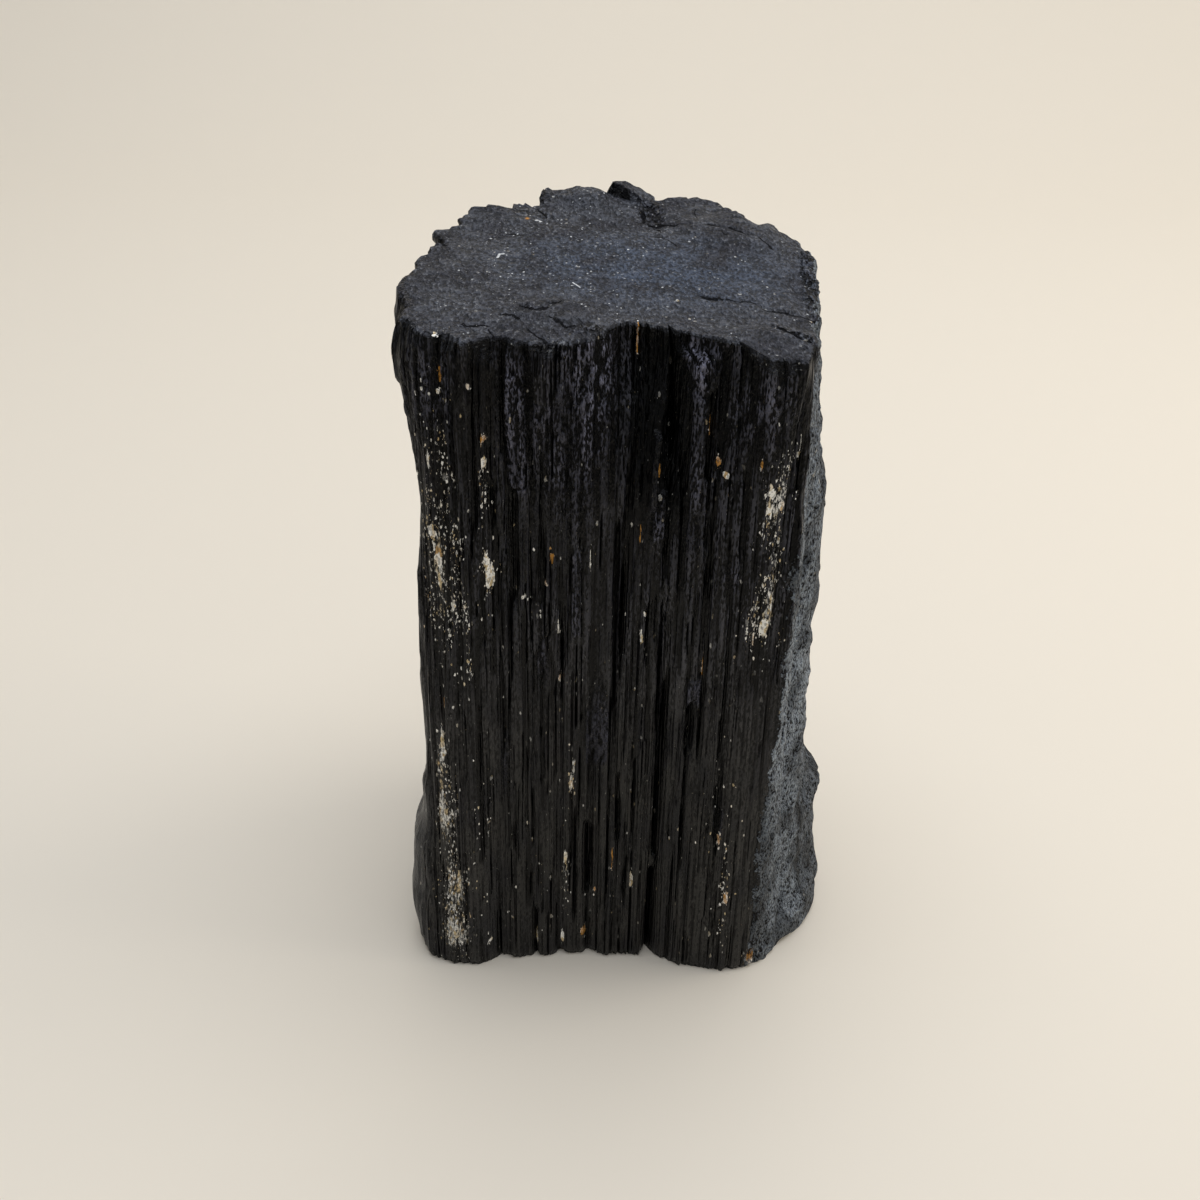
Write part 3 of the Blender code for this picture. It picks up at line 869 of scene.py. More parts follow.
    # Fields of small pale grains, on the left, on the right and in the furrows between.
    dust_fields: tuple[Patch, ...] = many(
        Patch,
        (-30, 122, 3.2, 14, 0.68), (-29.6, 99, 3.6, 13, 0.6), (-26.4, 108, 1.6, 20, 0.25),
        (-27.4, 80, 4, 12, 0.14), (-21.2, 124, 1.3, 10, 0.45), (-21, 102, 1.8, 8, 0.45),
        (-30.6, 44, 2.2, 20, 0.5), (-30, 14, 3.2, 12, 0.62), (-25, 34, 3.4, 20, 0.18),
        (-24.8, 84, 0.6, 9, 0.4), (31.6, 128, 2.2, 7, 0.62), (30.8, 118, 2.4, 7, 0.6),
        (31, 106, 2.6, 9, 0.62), (29.4, 93, 2.4, 6, 0.45), (34.4, 90, 0.9, 3, 0.5),
        (-6.2, 22, 0.8, 17, 0.5), (-4.8, 52, 0.8, 7, 0.4), (-10.6, 24, 1, 14, 0.22),
        (-16, 40, 4, 24, 0.05), (-13, 104, 4, 12, 0.1), (0, 84, 12, 24, 0.012), (10, 30, 12, 26, 0.018),
        (27.9, 22, 0.9, 19, 0.44), (27, 44, 5, 26, 0.07))
    # Patches of pale powder among them.
    film_fields: tuple[Patch, ...] = many(
        Patch,
        (-31.6, 54, 0.9, 10, 0.7), (-31.4, 41, 1.9, 5.6, 0.72), (-28.6, 44, 1, 2.4, 0.6),
        (-30.6, 22, 2.3, 12, 0.66), (-28.4, 22, 1, 4.5, 0.5), (-29.4, 9, 3.6, 4.6, 0.72),
        (-30, 104, 1.3, 9, 0.8), (-30.8, 125, 1, 4, 0.5), (31.8, 124, 1.5, 4.6, 0.65),
        (30.4, 120, 1.2, 2.4, 0.75), (31.8, 109, 1.4, 7, 0.55), (31.6, 98, 1.2, 6, 0.8),
        (34.6, 3, 1.6, 3.6, 0.8))
    # The largest grains, one by one: x, z, half width, half height, rust.
    grains: tuple[Grain, ...] = many(
        Grain,
        (-29.4, 150.6, 0.8, 0.9, 0.35), (-28.5, 143.4, 0.45, 2, 1), (-28.9, 139.8, 0.5, 0.9, 0.3),
        (-23.4, 142, 0.35, 1, 0.5), (-21, 131.8, 0.45, 1.1, 0.7), (-20.9, 127, 0.34, 1.6, 0.1),
        (-31, 125.8, 0.4, 2.8, 0.1), (-31, 110.5, 0.9, 2.2, 0.4), (-30, 105.6, 0.8, 3.2, 0.5),
        (-29.9, 100.4, 0.6, 2.4, 0.3), (-21.1, 105.6, 0.7, 2.6, 0.2), (-20.6, 101.8, 1.05, 3.6, 0.1),
        (-27.6, 95.6, 0.7, 1.1, 0), (-30.6, 71, 0.3, 2.4, 0.8), (-31.1, 60, 0.45, 6, 0.2),
        (-28.9, 24, 0.4, 4, 0.35), (-22, 40, 0.28, 3.4, 0.45), (-22.4, 7, 0.4, 1.4, 0.2),
        (-9, 106.7, 0.55, 1.8, 0.9), (-10.2, 100.7, 0.5, 0.7, 0.7), (-14.3, 97.6, 0.35, 0.9, 0.1),
        (-2, 107, 0.14, 4.6, 0.1), (-7.8, 90.6, 0.22, 2.8, 0.15), (-7.5, 78.2, 0.24, 1.8, 0.6),
        (5.3, 147.6, 0.26, 4.2, 0.75), (10.4, 124.4, 0.24, 1.8, 0.9), (7.1, 112.2, 0.18, 2.6, 1),
        (8.5, 94.4, 0.4, 1.6, 0.5), (8, 89, 0.38, 1.8, 0.25), (20.2, 83.4, 0.3, 4.2, 0.85),
        (19.1, 134.6, 0.26, 3, 0.9), (20.9, 127.4, 0.45, 1.5, 0.75), (21.9, 125.4, 0.5, 1.2, 0.45),
        (22.6, 118.4, 0.18, 4.8, 0.6), (28, 129.6, 0.3, 1.6, 0.7), (30.2, 124, 1, 1.6, 0.35),
        (30, 120.2, 0.8, 1.5, 0.05), (32, 121.6, 0.6, 1.4, 0.5), (31, 94.2, 0.9, 2.8, 0.25),
        (31.9, 100, 0.6, 1.4, 0.2), (29.1, 91.2, 0.35, 2.4, 0.6), (34.4, 90.2, 0.4, 2.2, 0.55),
        (34.8, 133.4, 0.2, 2.6, 0.15), (-4.6, 56.4, 0.5, 1.5, 0.35), (-5.2, 50.8, 0.5, 2.4, 0.45),
        (-6.1, 30.4, 0.42, 2.2, 0.1), (-6.7, 5.4, 0.5, 2.6, 0.2), (-12.7, 6, 0.5, 3, 0.15),
        (-2.2, 7.4, 0.7, 1.8, 0.75), (0.2, 19.8, 0.35, 1.8, 0.8), (3.7, 30.4, 0.24, 4.2, 0.9),
        (8, 23.6, 0.36, 3.4, 0.25), (26.2, 38, 0.3, 2.2, 0.7), (27.6, 36, 0.35, 1.2, 0.6),
        (28.1, 22.6, 0.4, 2.6, 0.6), (34.8, 4.4, 0.9, 2.6, 0.8))

    def azimuths(self) -> Array:
        """Azimuths of the mesh's columns: even along the body's outline, closer where it shows most.

        Returns:
            One azimuth for each column, in radians.
        """
        fine = np.linspace(-np.pi, np.pi, 7201)
        radius = self.form.body.radius(fine)
        x, y = radius * np.cos(fine), radius * np.sin(fine)
        middle_x, middle_y = 0.5 * (x[1:] + x[:-1]), 0.5 * (y[1:] + y[:-1])
        on_front = smooth(24.0, 29.0, -middle_y)
        on_side = smooth(30.0, 36.0, middle_x) * smooth(-8.0, 2.0, -middle_y) * (1.0 - on_front)
        weight = 1.0 + (self.front_weight - 1.0) * on_front + (self.side_weight - 1.0) * on_side
        travelled = np.concatenate(([0.0], np.cumsum(np.hypot(np.diff(x), np.diff(y)) * weight)))
        return np.interp(np.arange(self.columns) / self.columns * travelled[-1], travelled, fine)

    def around(self, azimuth: Array) -> tuple[Array, float]:
        """Distance round the body's outline at each azimuth, and the length once round it.

        Args:
            azimuth: directions in radians.

        Returns:
            Both, in millimetres.
        """
        fine = np.linspace(-np.pi, np.pi, 7201)
        radius = self.form.body.radius(fine)
        steps = np.hypot(np.diff(radius * np.cos(fine)), np.diff(radius * np.sin(fine)))
        travelled = np.concatenate(([0.0], np.cumsum(steps)))
        return np.interp(azimuth, fine, travelled), float(travelled[-1])

    def levels(self) -> Array:
        """Heights of the mesh's rows, as shares of the column's height, closer together under the rim."""
        runs = [np.linspace(low, high, count, endpoint=False) for low, high, count in self.row_runs]
        return np.concatenate((*runs, [self.form.height])) / self.form.height

    def side_grid(self, azimuth: Array, height: Array, radius: Array) -> SideGrid:
        """Places every point of the side's grid.

        Args:
            azimuth: azimuth of each column.
            height: height of each grid point, rows by columns.
            radius: the plain form's distance from the axis at each grid point.

        Returns:
            The grid's places, and how far each belongs to the broken side.
        """
        along, girth = self.around(azimuth)
        lean = (radius - self.form.body.radius(azimuth)) * np.cos(azimuth)
        degrees = np.degrees(turned(azimuth, 0.0))
        wander = Rumple(71, 400.0, 9.0, 0.8).at(0.0 * height, height)
        wander = wander + Rumple(72, 400.0, 3.0, 0.5).at(0.0 * height, height)
        past_border = degrees - (np.interp(height, *zip(*self.border)) + wander)
        return SideGrid(
            azimuth=azimuth,
            degrees=degrees,
            height=height,
            girth=girth,
            across=along + lean * smooth(0.3, 0.6, -np.sin(azimuth)),
            place=np.where(np.sin(azimuth) < -0.4, radius * np.cos(azimuth), 1e3),
            past_border=past_border,
            broken=smooth(-2.0, 2.0, past_border) * (1.0 - smooth(25.0, 39.0, degrees + 4.0 * wander)),
        )

    def side_zones(self, grid: SideGrid) -> dict[str, Array]:
        """Fine relief of the side and the zones of its material, over the grid.

        Args:
            grid: the side's grid.

        Returns:
            The relief under "relief", and each zone under its own name.
        """
        place, height, degrees = grid.place, grid.height, grid.degrees
        worn = spaced(-178.0, -141.0, degrees, 5.0) * (1.0 - smooth(38.0, 50.0, height))
        hackle, plated = self.hackled(grid)
        relief = self.side_relief(grid, worn, hackle, plated)
        # Painted shade and highlight: how far each place lies below the mean of its neighbours.
        sunk = 0.5 + (around_mean(relief, self.window) - relief) / self.sunk_depth
        dust, rust = self.lodged(grid)
        rolled = 0.15 + 1.3 * np.clip(Rumple(99, 2.2, 400.0).at(grid.across, height), 0.0, 1.0)
        rolled = rolled * (1.0 - spaced(-8.0, 19.0, place, 2.0))
        rolled = rolled + sum(lip.at(place, 0.0 * height) for lip in self.lips)
        film = sum(patch.at(place, height) for patch in self.film_fields)
        upper = smooth(-0.6, 0.6, height - self.form.height + rolled) * (1.0 - grid.broken)
        return {
            "relief": relief,
            Zone.BROKEN.value: grid.broken,
            Zone.HACKLE.value: np.clip(hackle, 0.0, 1.0),
            Zone.RELIEF_SHADE_AND_WALL.value: np.clip(sunk, 0.0, 1.0),
            Zone.DUST.value: dust * (1.0 - 0.9 * grid.broken),
            Zone.RUST.value: np.clip(rust, 0.0, 1.0),
            Zone.FILM.value: np.clip(film, 0.0, 1.0),
            Zone.WORN.value: worn,
            Zone.TONE_AND_SHADE.value: np.clip(self.tone(grid), 0.0, 1.0),
            Zone.SPLIT.value: np.zeros(height.shape),
            Zone.GAPE.value: np.zeros(height.shape),
            Zone.UPPER.value: upper,
        }

    def hackled(self, grid: SideGrid) -> tuple[Array, Array]:
        """How hackly the front is, and how far its named plates stand out.

        Args:
            grid: the side's grid.

        Returns:
            Both, over the grid.
        """
        hackle = np.clip(sum(patch.at(grid.place, grid.height) for patch in self.hackles), 0.0, 1.0)
        plated = np.zeros(grid.height.shape)
        for plate in self.plates:
            share = plate.share(grid.place, grid.height)
            plated = plated + plate.step * share
            hackle = hackle + (plate.coarse - hackle) * share
        return hackle, plated

    def side_relief(self, grid: SideGrid, worn: Array, hackle: Array, plated: Array) -> Array:
        """Fine relief of the side, in millimetres.

        It is the striations, slats and gashes on grown faces, lumps on the broken side, clefts and
        hackly patches on the front, and chips that fade downwards from the rim.

        Args:
            grid: the side's grid.
            worn: one where the lumps at the left foot are worn smooth.
            hackle: how hackly the front is.
            plated: how far the front's plates stand out.

        Returns:
            The relief at each grid point.
        """
        form, across, height = self.form, grid.across, grid.height
        grown = Striations(grid.girth).at(across, height)
        for strips in (self.slats, self.gashes):
            grown = grown + strips.at(across, height, grid.girth, form.height)
        cuts = sum(furrow.level(grid.place, height) for furrow in self.deep_furrows)
        shaggy = Rumple(81, 0.55, 0.95, 0.34).at(across, height)
        shaggy = shaggy + Rumple(82, 1.3, 2.6, 0.42).at(across, height)
        shaggy = shaggy + Rumple(83, 3.0, 6.5, 0.34).at(across + 0.2 * height, height)
        near_rim = smooth(form.height - self.chipped_height, form.height, height)
        jagged = 0.6 + 0.7 * spaced(95.0, 178.0, grid.degrees, 8.0)
        chips = (terraced(Rumple(95, 2.2, 3.2, 1.0).at(across, height), 3.0) * jagged - 0.2) * near_rim**2
        relief = (grown * (1.0 - 0.85 * worn) + plated) * (1.0 - 0.9 * grid.broken) * (1.0 - 0.55 * hackle)
        relief = relief + Grainy(90).at(across, height) * grid.broken * 1.1
        relief = relief + sum(swell.at(grid.azimuth, height) for swell in self.dressing)
        relief = relief - self.calmed * form.rough(grid.azimuth, height)
        return relief + shaggy * hackle - cuts * (1.0 - grid.broken) + chips

    def tone(self, grid: SideGrid) -> Array:
        """How light each place is, about 0.5: painted shade in the hollow, down the front's clefts and in the
        broken side's seam, and darker at that side's border and knob.

        Args:
            grid: the side's grid.

        Returns:
            The tone over the grid.
        """
        place, height, degrees = grid.place, grid.height, grid.degrees
        # The hollow's shadow, then the front under the rim and its left part.
        tone = 0.5 - 0.40 * spaced(4.6, 15.3, place, 0.4) * smooth(110.0, 124.0, height)
        tone = tone - 0.02 * spaced(98.0, 146.0, height, 8.0) * spaced(-24.0, 25.0, place, 3.0)
        tone = tone - 0.10 * spaced(84.0, 150.0, height, 8.0) * spaced(-40.0, -17.0, place, 1.5)
        # The front's patches: painted shade down most named clefts, and lighter places.
        tone = tone + sum(patch.at(place, height) for patch in self.tone_and_shade_patches)
        # The broken side: darker on the knob at its foot and along the border beside the front, painted shade
        # in the seam beside the knob, lighter at mid height and darker near the top.
        knob = spaced(-22.0, 50.0, degrees, 1.2) * (1.0 - smooth(36.0, 44.0, height))
        by_border = (1.0 - smooth(2.0, 9.0, grid.past_border)) * (1.0 - smooth(24.0, 60.0, height))
        seam = np.exp(-(((degrees + 22.6) / 1.0) ** 2)) * spaced(4.0, 42.0, height, 3.0)
        side = 0.48 - 0.17 * knob - 0.20 * by_border - 0.3 * seam + 0.08 * spaced(48.0, 96.0, height, 10.0)
        side = side - 0.05 * smooth(118.0, 140.0, height)
        return tone + (side - tone) * grid.broken

    def lodged(self, grid: SideGrid) -> tuple[Array, Array]:
        """How thickly pale grains lie, 0 to 1, and how rusty they are.

        Args:
            grid: the side's grid.

        Returns:
            Both, over the grid.
        """
        dust = sum(patch.at(grid.place, grid.height) for patch in self.dust_fields)
        uneven = Rumple(98, 1.6, 4.0, 0.9).at(grid.across, grid.height)
        dust = np.clip(dust * (1.0 + uneven), 0.0, self.thickest_dust)
        rust = 0.20 + Rumple(97, 2.2, 5.0, 0.30).at(grid.across, grid.height)
        for grain in self.grains:
            spot = Patch(grain.x, grain.z, grain.half_x, grain.half_z).at(grid.place, grid.height)
            rust = rust + (grain.rust - rust) * np.clip(spot * 1.6, 0.0, 1.0)
            dust = np.maximum(dust, np.clip(2.2 * spot - 0.45, 0.0, 1.0))
        return dust, rust

    def cap_relief(self, x: Array, y: Array) -> Array:
        """Fine relief of the upper break: low waves, hackles, ledges, and the block on the back edge.

        Args:
            x: places to the right.
            y: places to the back.

        Returns:
            The relief at each place.
        """
        waves = Rumple(101, 15.0, 12.0, 0.26).at(x, y) + Rumple(102, 5.5, 4.2, 0.14).at(x, y)
        hackle = Rumple(103, 2.3, 1.8, 0.09).at(x, y) + Rumple(104, 1.1, 0.9, 0.09).at(x, y)
        slope = Rumple(105, 13.0, 8.0, 2.2).at(x + 0.6 * y, y) + Rumple(106, 4.0, 3.0, 0.45).at(x, y)
        to_back = smooth(6.0, 22.0, y + 0.25 * np.abs(x)) * (1.0 - smooth(-2.0, 6.0, x))
        pit = self.pit_share(x, y)
        rough = Rumple(107, 1.6, 1.6, 0.8).at(x, y) * np.maximum(pit, self.torn_share(x, y))
        relief = waves + hackle + terraced(slope, 1.0) * (0.06 + 0.30 * to_back) - 0.7 * pit + rough
        offset, gape = self.split(x, y)
        relief = relief - 0.9 * gape * np.exp(-((offset / 0.45) ** 2))
        relief = relief + sum(rise.at(x, y) for rise in self.rises) + self.block(x, y)
        return relief - self.form.reliefs[0].at(x, y) - 0.8 * self.form.reliefs[1].at(x, y)

    def split(self, x: Array, y: Array) -> tuple[Array, Array]:
        """Signed distance to the nearest crack, and that crack's half width where it is close by.

        Args:
            x: places to the right.
            y: places to the back.

        Returns:
            Both, at each place.
        """
        offset, gape, nearest = np.full(x.shape, 3.0), np.zeros(x.shape), np.full(x.shape, np.inf)
        for crack in self.cracks:
            off, away, past = crack.at(x, y)
            share = (1.0 - smooth(1.5, 2.3, away)) * (1.0 - smooth(0.0, 0.7, past))
            nearer = away < nearest
            offset, gape = np.where(nearer, off, offset), np.where(nearer, crack.half_width * share, gape)
            nearest = np.where(nearer, away, nearest)
        return np.clip(offset, -3.0, 3.0), gape

    def from_wall(self, x: Array, y: Array) -> tuple[Array, Array]:
        """Distances along the foot of the block's wall and away from it, to the back.

        Args:
            x: places to the right.
            y: places to the back.

        Returns:
            Both, in millimetres.
        """
        right, back = x - self.wall_foot[0], y - self.wall_foot[1]
        run, rise, length = self.wall_way
        return (right * run - back * rise) / length, (right * rise + back * run) / length

    def block(self, x: Array, y: Array) -> Array:
        """The splinter left standing on the back edge: steep at its left front, and lower to the right.

        Args:
            x: places to the right.
            y: places to the back.

        Returns:
            Its height at each place.
        """
        along, off = self.from_wall(x, y)
        height = self.wall_height * (1.0 - smooth(0.0, 14.0, x)) * smooth(-0.5, 0.3, x + 0.25 * (y - 30.0))
        return height * smooth(0.0, 0.5, off) * smooth(-1.2, -0.6, along)

    def wall_share(self, x: Array, y: Array) -> Array:
        """One on the striated wall at the left front of the block."""
        along, off = self.from_wall(x, y)
        return spaced(-0.30, 0.75, off, 0.3) * spaced(-0.8, 4.3, along, 0.5)

    def pit_share(self, x: Array, y: Array) -> Array:
        """One in the granular pit in front of the block: an oval leaning to the right.

        Args:
            x: places to the right.
            y: places to the back.

        Returns:
            The share at each place.
        """
        pit = self.pit
        across = (x - pit.x + self.pit_lean * (y - pit.z)) / pit.half_x
        return np.minimum(pit.amount * np.exp(-(across**2) - ((y - pit.z) / pit.half_z) ** 2), 1.0)

    def torn_share(self, x: Array, y: Array) -> Array:
        """One where the break is torn: beside the right-front crack, at the right end, and at the lips.

        Args:
            x: places to the right.
            y: places to the back.

        Returns:
            The share at each place.
        """
        crack = np.exp(-((((y + 22.6) + 0.80 * (x - 29.4)) / 1.5) ** 2)) * spaced(29.0, 35.6, x, 1.0)
        end = smooth(35.0, 37.4, x)
        lip = np.exp(-(((x + 2.6) / 4.0) ** 2) - ((y + 27.6) / 1.7) ** 2)
        spots = sum(patch.at(x, y) for patch in self.torn_spots)
        return np.clip(crack + 0.8 * end + lip + spots, 0.0, 1.0)

    def build_mesh(self) -> bpy.types.Mesh:
        """Makes the closed mesh of side, upper break and foot, with its zones.

        Returns:
            The mesh, in the part's frame and in metres.
        """
        form = self.form
        azimuth = self.azimuths()
        level = self.levels()[:, None]
        height = level * form.height + 0.0 * azimuth[None, :]
        radius = form.radius(azimuth[None, :], height)
        zones = self.side_zones(self.side_grid(azimuth, height, radius))
        radius = radius + zones.pop("relief")
        radius[0] -= form.foot_bevel
        x, y = radius * np.cos(azimuth), radius * np.sin(azimuth)
        along, _ = self.around(azimuth)
        chipped = terraced(np.clip(Rumple(111, 3.0, 9.0).at(along, 0.0 * along), 0.0, 1.0), 4.0)
        chipped = self.chip * chipped + 0.3 * np.abs(Rumple(112, 0.8, 9.0).at(along, 0.0 * along))
        chipped = chipped * (1.0 - 0.9 * spaced(14.0, 96.0, np.degrees(turned(azimuth, 0.0)), 6.0))
        rim = form.top(x[-1], y[-1]) + self.cap_relief(x[-1], y[-1]) - self.rim_bevel - chipped
        z = level * rim[None, :]
        sheet = Sheet()
        sheet.add_rings(np.stack((x, y, z), axis=-1), zones)
        self.add_cap(sheet, x[-1], y[-1], zones)
        self.add_foot(sheet, x[0], y[0])
        return sheet.mesh(PIECE, form.axis)

    def add_cap(self, sheet: "Sheet", x: Array, y: Array, zones: dict[str, Array]) -> None:
        """Closes the top with rings that shrink towards the axis, and halves their columns on the way.

        Args:
            sheet: the stone's sheet so far.
            x: places to the right.
            y: places to the back.
            zones: the side's zones, rows by columns.
        """
        reach = float(np.mean(np.hypot(x, y)))
        inset, step = self.cap_first_step, self.cap_first_step
        last = {name: values[-1] for name, values in zones.items()}
        while inset < reach - step:
            share = 1.0 - inset / reach
            if 2.0 * math.pi * reach * share / len(x) < self.cap_slimmest * step and len(x) % 2 == 0:
                x, y = x[::2], y[::2]
                last = {name: values[::2] for name, values in last.items()}
            ring_x, ring_y = x * share, y * share
            ring_z = self.form.top(ring_x, ring_y) + self.cap_relief(ring_x, ring_y)
            depth = np.full(len(x), inset)
            values = {name: value * (1.0 - smooth(0.0, 3.0, depth)) for name, value in last.items()}
            corner = spaced(-164.0, -143.0, np.degrees(np.arctan2(ring_y, ring_x)), 2.0)
            values[Zone.UPPER.value] = 1.0 - corner * (1.0 - smooth(0.8, 1.8, depth))
            values[Zone.HACKLE.value] = np.maximum(
                self.pit_share(ring_x, ring_y), self.torn_share(ring_x, ring_y))
            values[Zone.RELIEF_SHADE_AND_WALL.value] = self.wall_share(ring_x, ring_y)
            values[Zone.TONE_AND_SHADE.value] = np.full(len(x), 0.5)
            values[Zone.SPLIT.value], values[Zone.GAPE.value] = self.split(ring_x, ring_y)
            sheet.add_ring(np.stack((ring_x, ring_y, ring_z), axis=-1), values)
            step *= self.cap_growth
            inset += step
        middle = np.zeros(1)
        height = self.form.top(middle, middle) + self.cap_relief(middle, middle)
        sheet.close(np.array((0.0, 0.0, float(height[0]))), {Zone.UPPER.value: 1.0})

    def add_foot(self, sheet: "Sheet", x: Array, y: Array) -> None:
        """Closes the flat foot with level rings, starting again from the lowest row.

        Args:
            sheet: the stone's sheet so far.
            x: places to the right.
            y: places to the back.
        """
        sheet.restart()
        share = 0.96
        while len(x) > 22 and share > 0.1:
            if len(x) % 2 == 0:
                x, y = x[::2], y[::2]
            ring = np.stack((x * share, y * share, 0.0 * x), axis=-1)
            sheet.add_ring(ring, {Zone.UPPER.value: np.ones(len(x))})
            share *= 0.80
        sheet.close(np.zeros(3), {Zone.UPPER.value: 1.0})

    def build(self) -> bpy.types.Object:
        """Makes the stone's object, dresses it, and ties it to the frame.

        Returns:
            The stone.
        """
        stone = bpy.data.objects.new(PIECE, self.build_mesh())
        bpy.context.scene.collection.objects.link(stone)
        stone.data.materials.append(SchorlMaterial().build())
        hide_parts(NODE)
        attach(stone, "root")
        LOG.info("%s: %d triangles", stone.name, len(stone.data.polygons))
        return stone


class Sheet:
    """Collects rings of vertices, the triangles between them, and the values that they carry."""

    def __init__(self) -> None:
        """Starts empty."""
        self.points: list[Array] = []
        self.values: dict[str, list[Array]] = {zone.value: [] for zone in Zone}
        self.faces: list[Array] = []
        self.count = 0
        self.first: Array | None = None
        self.last: Array | None = None
        self.downwards = False

    def add_points(self, points: Array, values: dict[str, Array]) -> Array:
        """Stores points and their values, and returns their numbers.

        Args:
            points: places in millimetres.
            values: what each zone is there.

        Returns:
            Their numbers.
        """
        self.points.append(points)
        for name, store in self.values.items():
            store.append(np.broadcast_to(values.get(name, 0.0), (len(points),)))
        numbers = np.arange(self.count, self.count + len(points))
        self.count += len(points)
        return numbers

    def add_ring(self, points: Array, values: dict[str, Array]) -> None:
        """Adds a ring and joins it to the one before, which has as many points or twice as many.

        Args:
            points: places in millimetres.
            values: what each zone is there.
        """
        ring = self.add_points(points, values)
        if self.last is not None:
            self.join(self.last, ring)
        elif self.first is None:
            self.first = ring
        self.last = ring

    def add_rings(self, points: Array, values: dict[str, Array]) -> None:
        """Adds every row of a grid as a ring."""
        for row in range(len(points)):
            self.add_ring(points[row], {name: value[row] for name, value in values.items()})

    def join(self, near: Array, far: Array) -> None:
        """Fills the band between two rings with triangles whose faces point outwards.

        Args:
            near: numbers of the earlier ring's points.
            far: numbers of the later ring's points.
        """
        after = np.roll(far, -1)
        if len(near) == len(far):
            beside = np.roll(near, -1)
            band = [np.stack((near, beside, after), axis=1), np.stack((near, after, far), axis=1)]
        else:
            even, odd, next_even = near[::2], near[1::2], np.roll(near[::2], -1)
            trios = ((even, odd, far), (odd, after, far), (odd, next_even, after))
            band = [np.stack(trio, axis=1) for trio in trios]
        self.faces += [part[:, ::-1] if self.downwards else part for part in band]

    def restart(self) -> None:
        """Goes back to the first ring, to close the other end of the sheet."""
        self.last = self.first
        self.downwards = True

    def close(self, point: Array, values: dict[str, float]) -> None:
        """Closes the last ring with triangles to one point.

        Args:
            point: its place.
            values: what each zone is there.
        """
        middle = self.add_points(point[None, :], {name: np.full(1, item) for name, item in values.items()})
        ring = self.last
        fan = np.stack((ring, np.roll(ring, -1), np.full(len(ring), middle[0])), axis=1)
        self.faces.append(fan[:, ::-1] if self.downwards else fan)

    def mesh(self, name: str, axis: tuple[float, float]) -> bpy.types.Mesh:
        """Turns the collected rings into a mesh with its values as attributes.

        Args:
            name: the mesh's name.
            axis: where the column's axis stands from the part's origin.

        Returns:
            A closed, smooth-shaded mesh with sharp creases.
        """
        points = (np.concatenate(self.points) + np.array((axis[0], axis[1], 0.0))) * MM
        faces = np.concatenate(self.faces)
        data = bpy.data.meshes.new(name)
        data.from_pydata(points, [], faces)
        for zone, store in self.values.items():
            made = data.attributes.new(zone, "FLOAT", "POINT")
            made.data.foreach_set("value", np.concatenate(store).astype(np.float32))
        data.validate()
        data.shade_smooth()
        data.set_sharp_from_angle(angle=math.radians(48.0))
        return data


# -------------------------------- finishes


Socket = bpy.types.NodeSocket
# Settings that many nodes share, and what a kind of node has where nothing else is asked.
COLOUR = {"data_type": "RGBA"}
SCALE = {"operation": "SCALE"}
ADD = {"operation": "ADD"}
LESS = {"operation": "SUBTRACT"}
LARGER = {"operation": "MAXIMUM"}
USUAL = {"MapRange": {"interpolation_type": "SMOOTHSTEP"}}


class Nodes:
    """The nodes of one material, with the stone's coordinates and zones at hand.

    Attributes:
        tree: the material's node tree.
        place: object coordinates.
        zone: the value of each zone.
    """

    def __init__(self, tree: bpy.types.NodeTree) -> None:
        """Empties the tree, and adds the coordinates and the zones.

        Args:
            tree: the material's node tree.
        """
        tree.nodes.clear()
        self.tree = tree
        self.place = self.add("TexCoord", output="Object")
        self.zone = {item: self.add("Attribute", attribute_name=item.value, output="Fac") for item in Zone}

    def add(self, kind: str, *inputs: object, output: str = "", **settings: object) -> Socket | None:
        """Adds a node with its settings, and fills its inputs with values or with other nodes' outputs.

        Args:
            kind: the node's type, without its "ShaderNode" prefix.
            inputs: values or sockets in the order of the inputs that the settings leave in use, or one
                dictionary of them by the inputs' names.
            output: name of the output to return, if it isn't the first in use.
            settings: the node's own properties, over what is usual for its kind.

        Returns:
            The output, if the node has any.
        """
        made = self.tree.nodes.new("ShaderNode" + kind)
        for name, value in (USUAL.get(kind, {}) | settings).items():
            setattr(made, name, value)
        if inputs and isinstance(inputs[0], dict):
            filled = [(made.inputs[name], value) for name, value in inputs[0].items()]
        else:
            filled = list(zip([socket for socket in made.inputs if socket.enabled], inputs))
        for socket, value in filled:
            if isinstance(value, Socket):
                self.tree.links.new(value, socket)
            else:
                socket.default_value = value
        if output:
            return made.outputs[output]
        return next((item for item in made.outputs if item.enabled), None)

    def weighed(self, *parts: tuple[Socket, float]) -> Socket:
        """Adds up numbers, each times its own weight.

        Args:
            parts: the numbers and their weights.

        Returns:
            The sum.
        """
        total = self.add("Math", *parts[0], operation="MULTIPLY")
        for value, weight in parts[1:]:
            total = self.add("Math", value, weight, total, operation="MULTIPLY_ADD")
        return total

    def product(self, total: Socket, *others: Socket | float) -> Socket:
        """Multiplies numbers, one after another.

        Args:
            total: the first number.
            others: the rest.

        Returns:
            The product.
        """
        for value in others:
            total = self.add("Math", total, value, operation="MULTIPLY")
        return total


@dataclass(frozen=True)
class Layer:
    """What one finish gives the shader: colour, roughness and, if it has any, relief in millimetres."""

    colour: Socket
    roughness: Socket
    relief: Socket | None = None


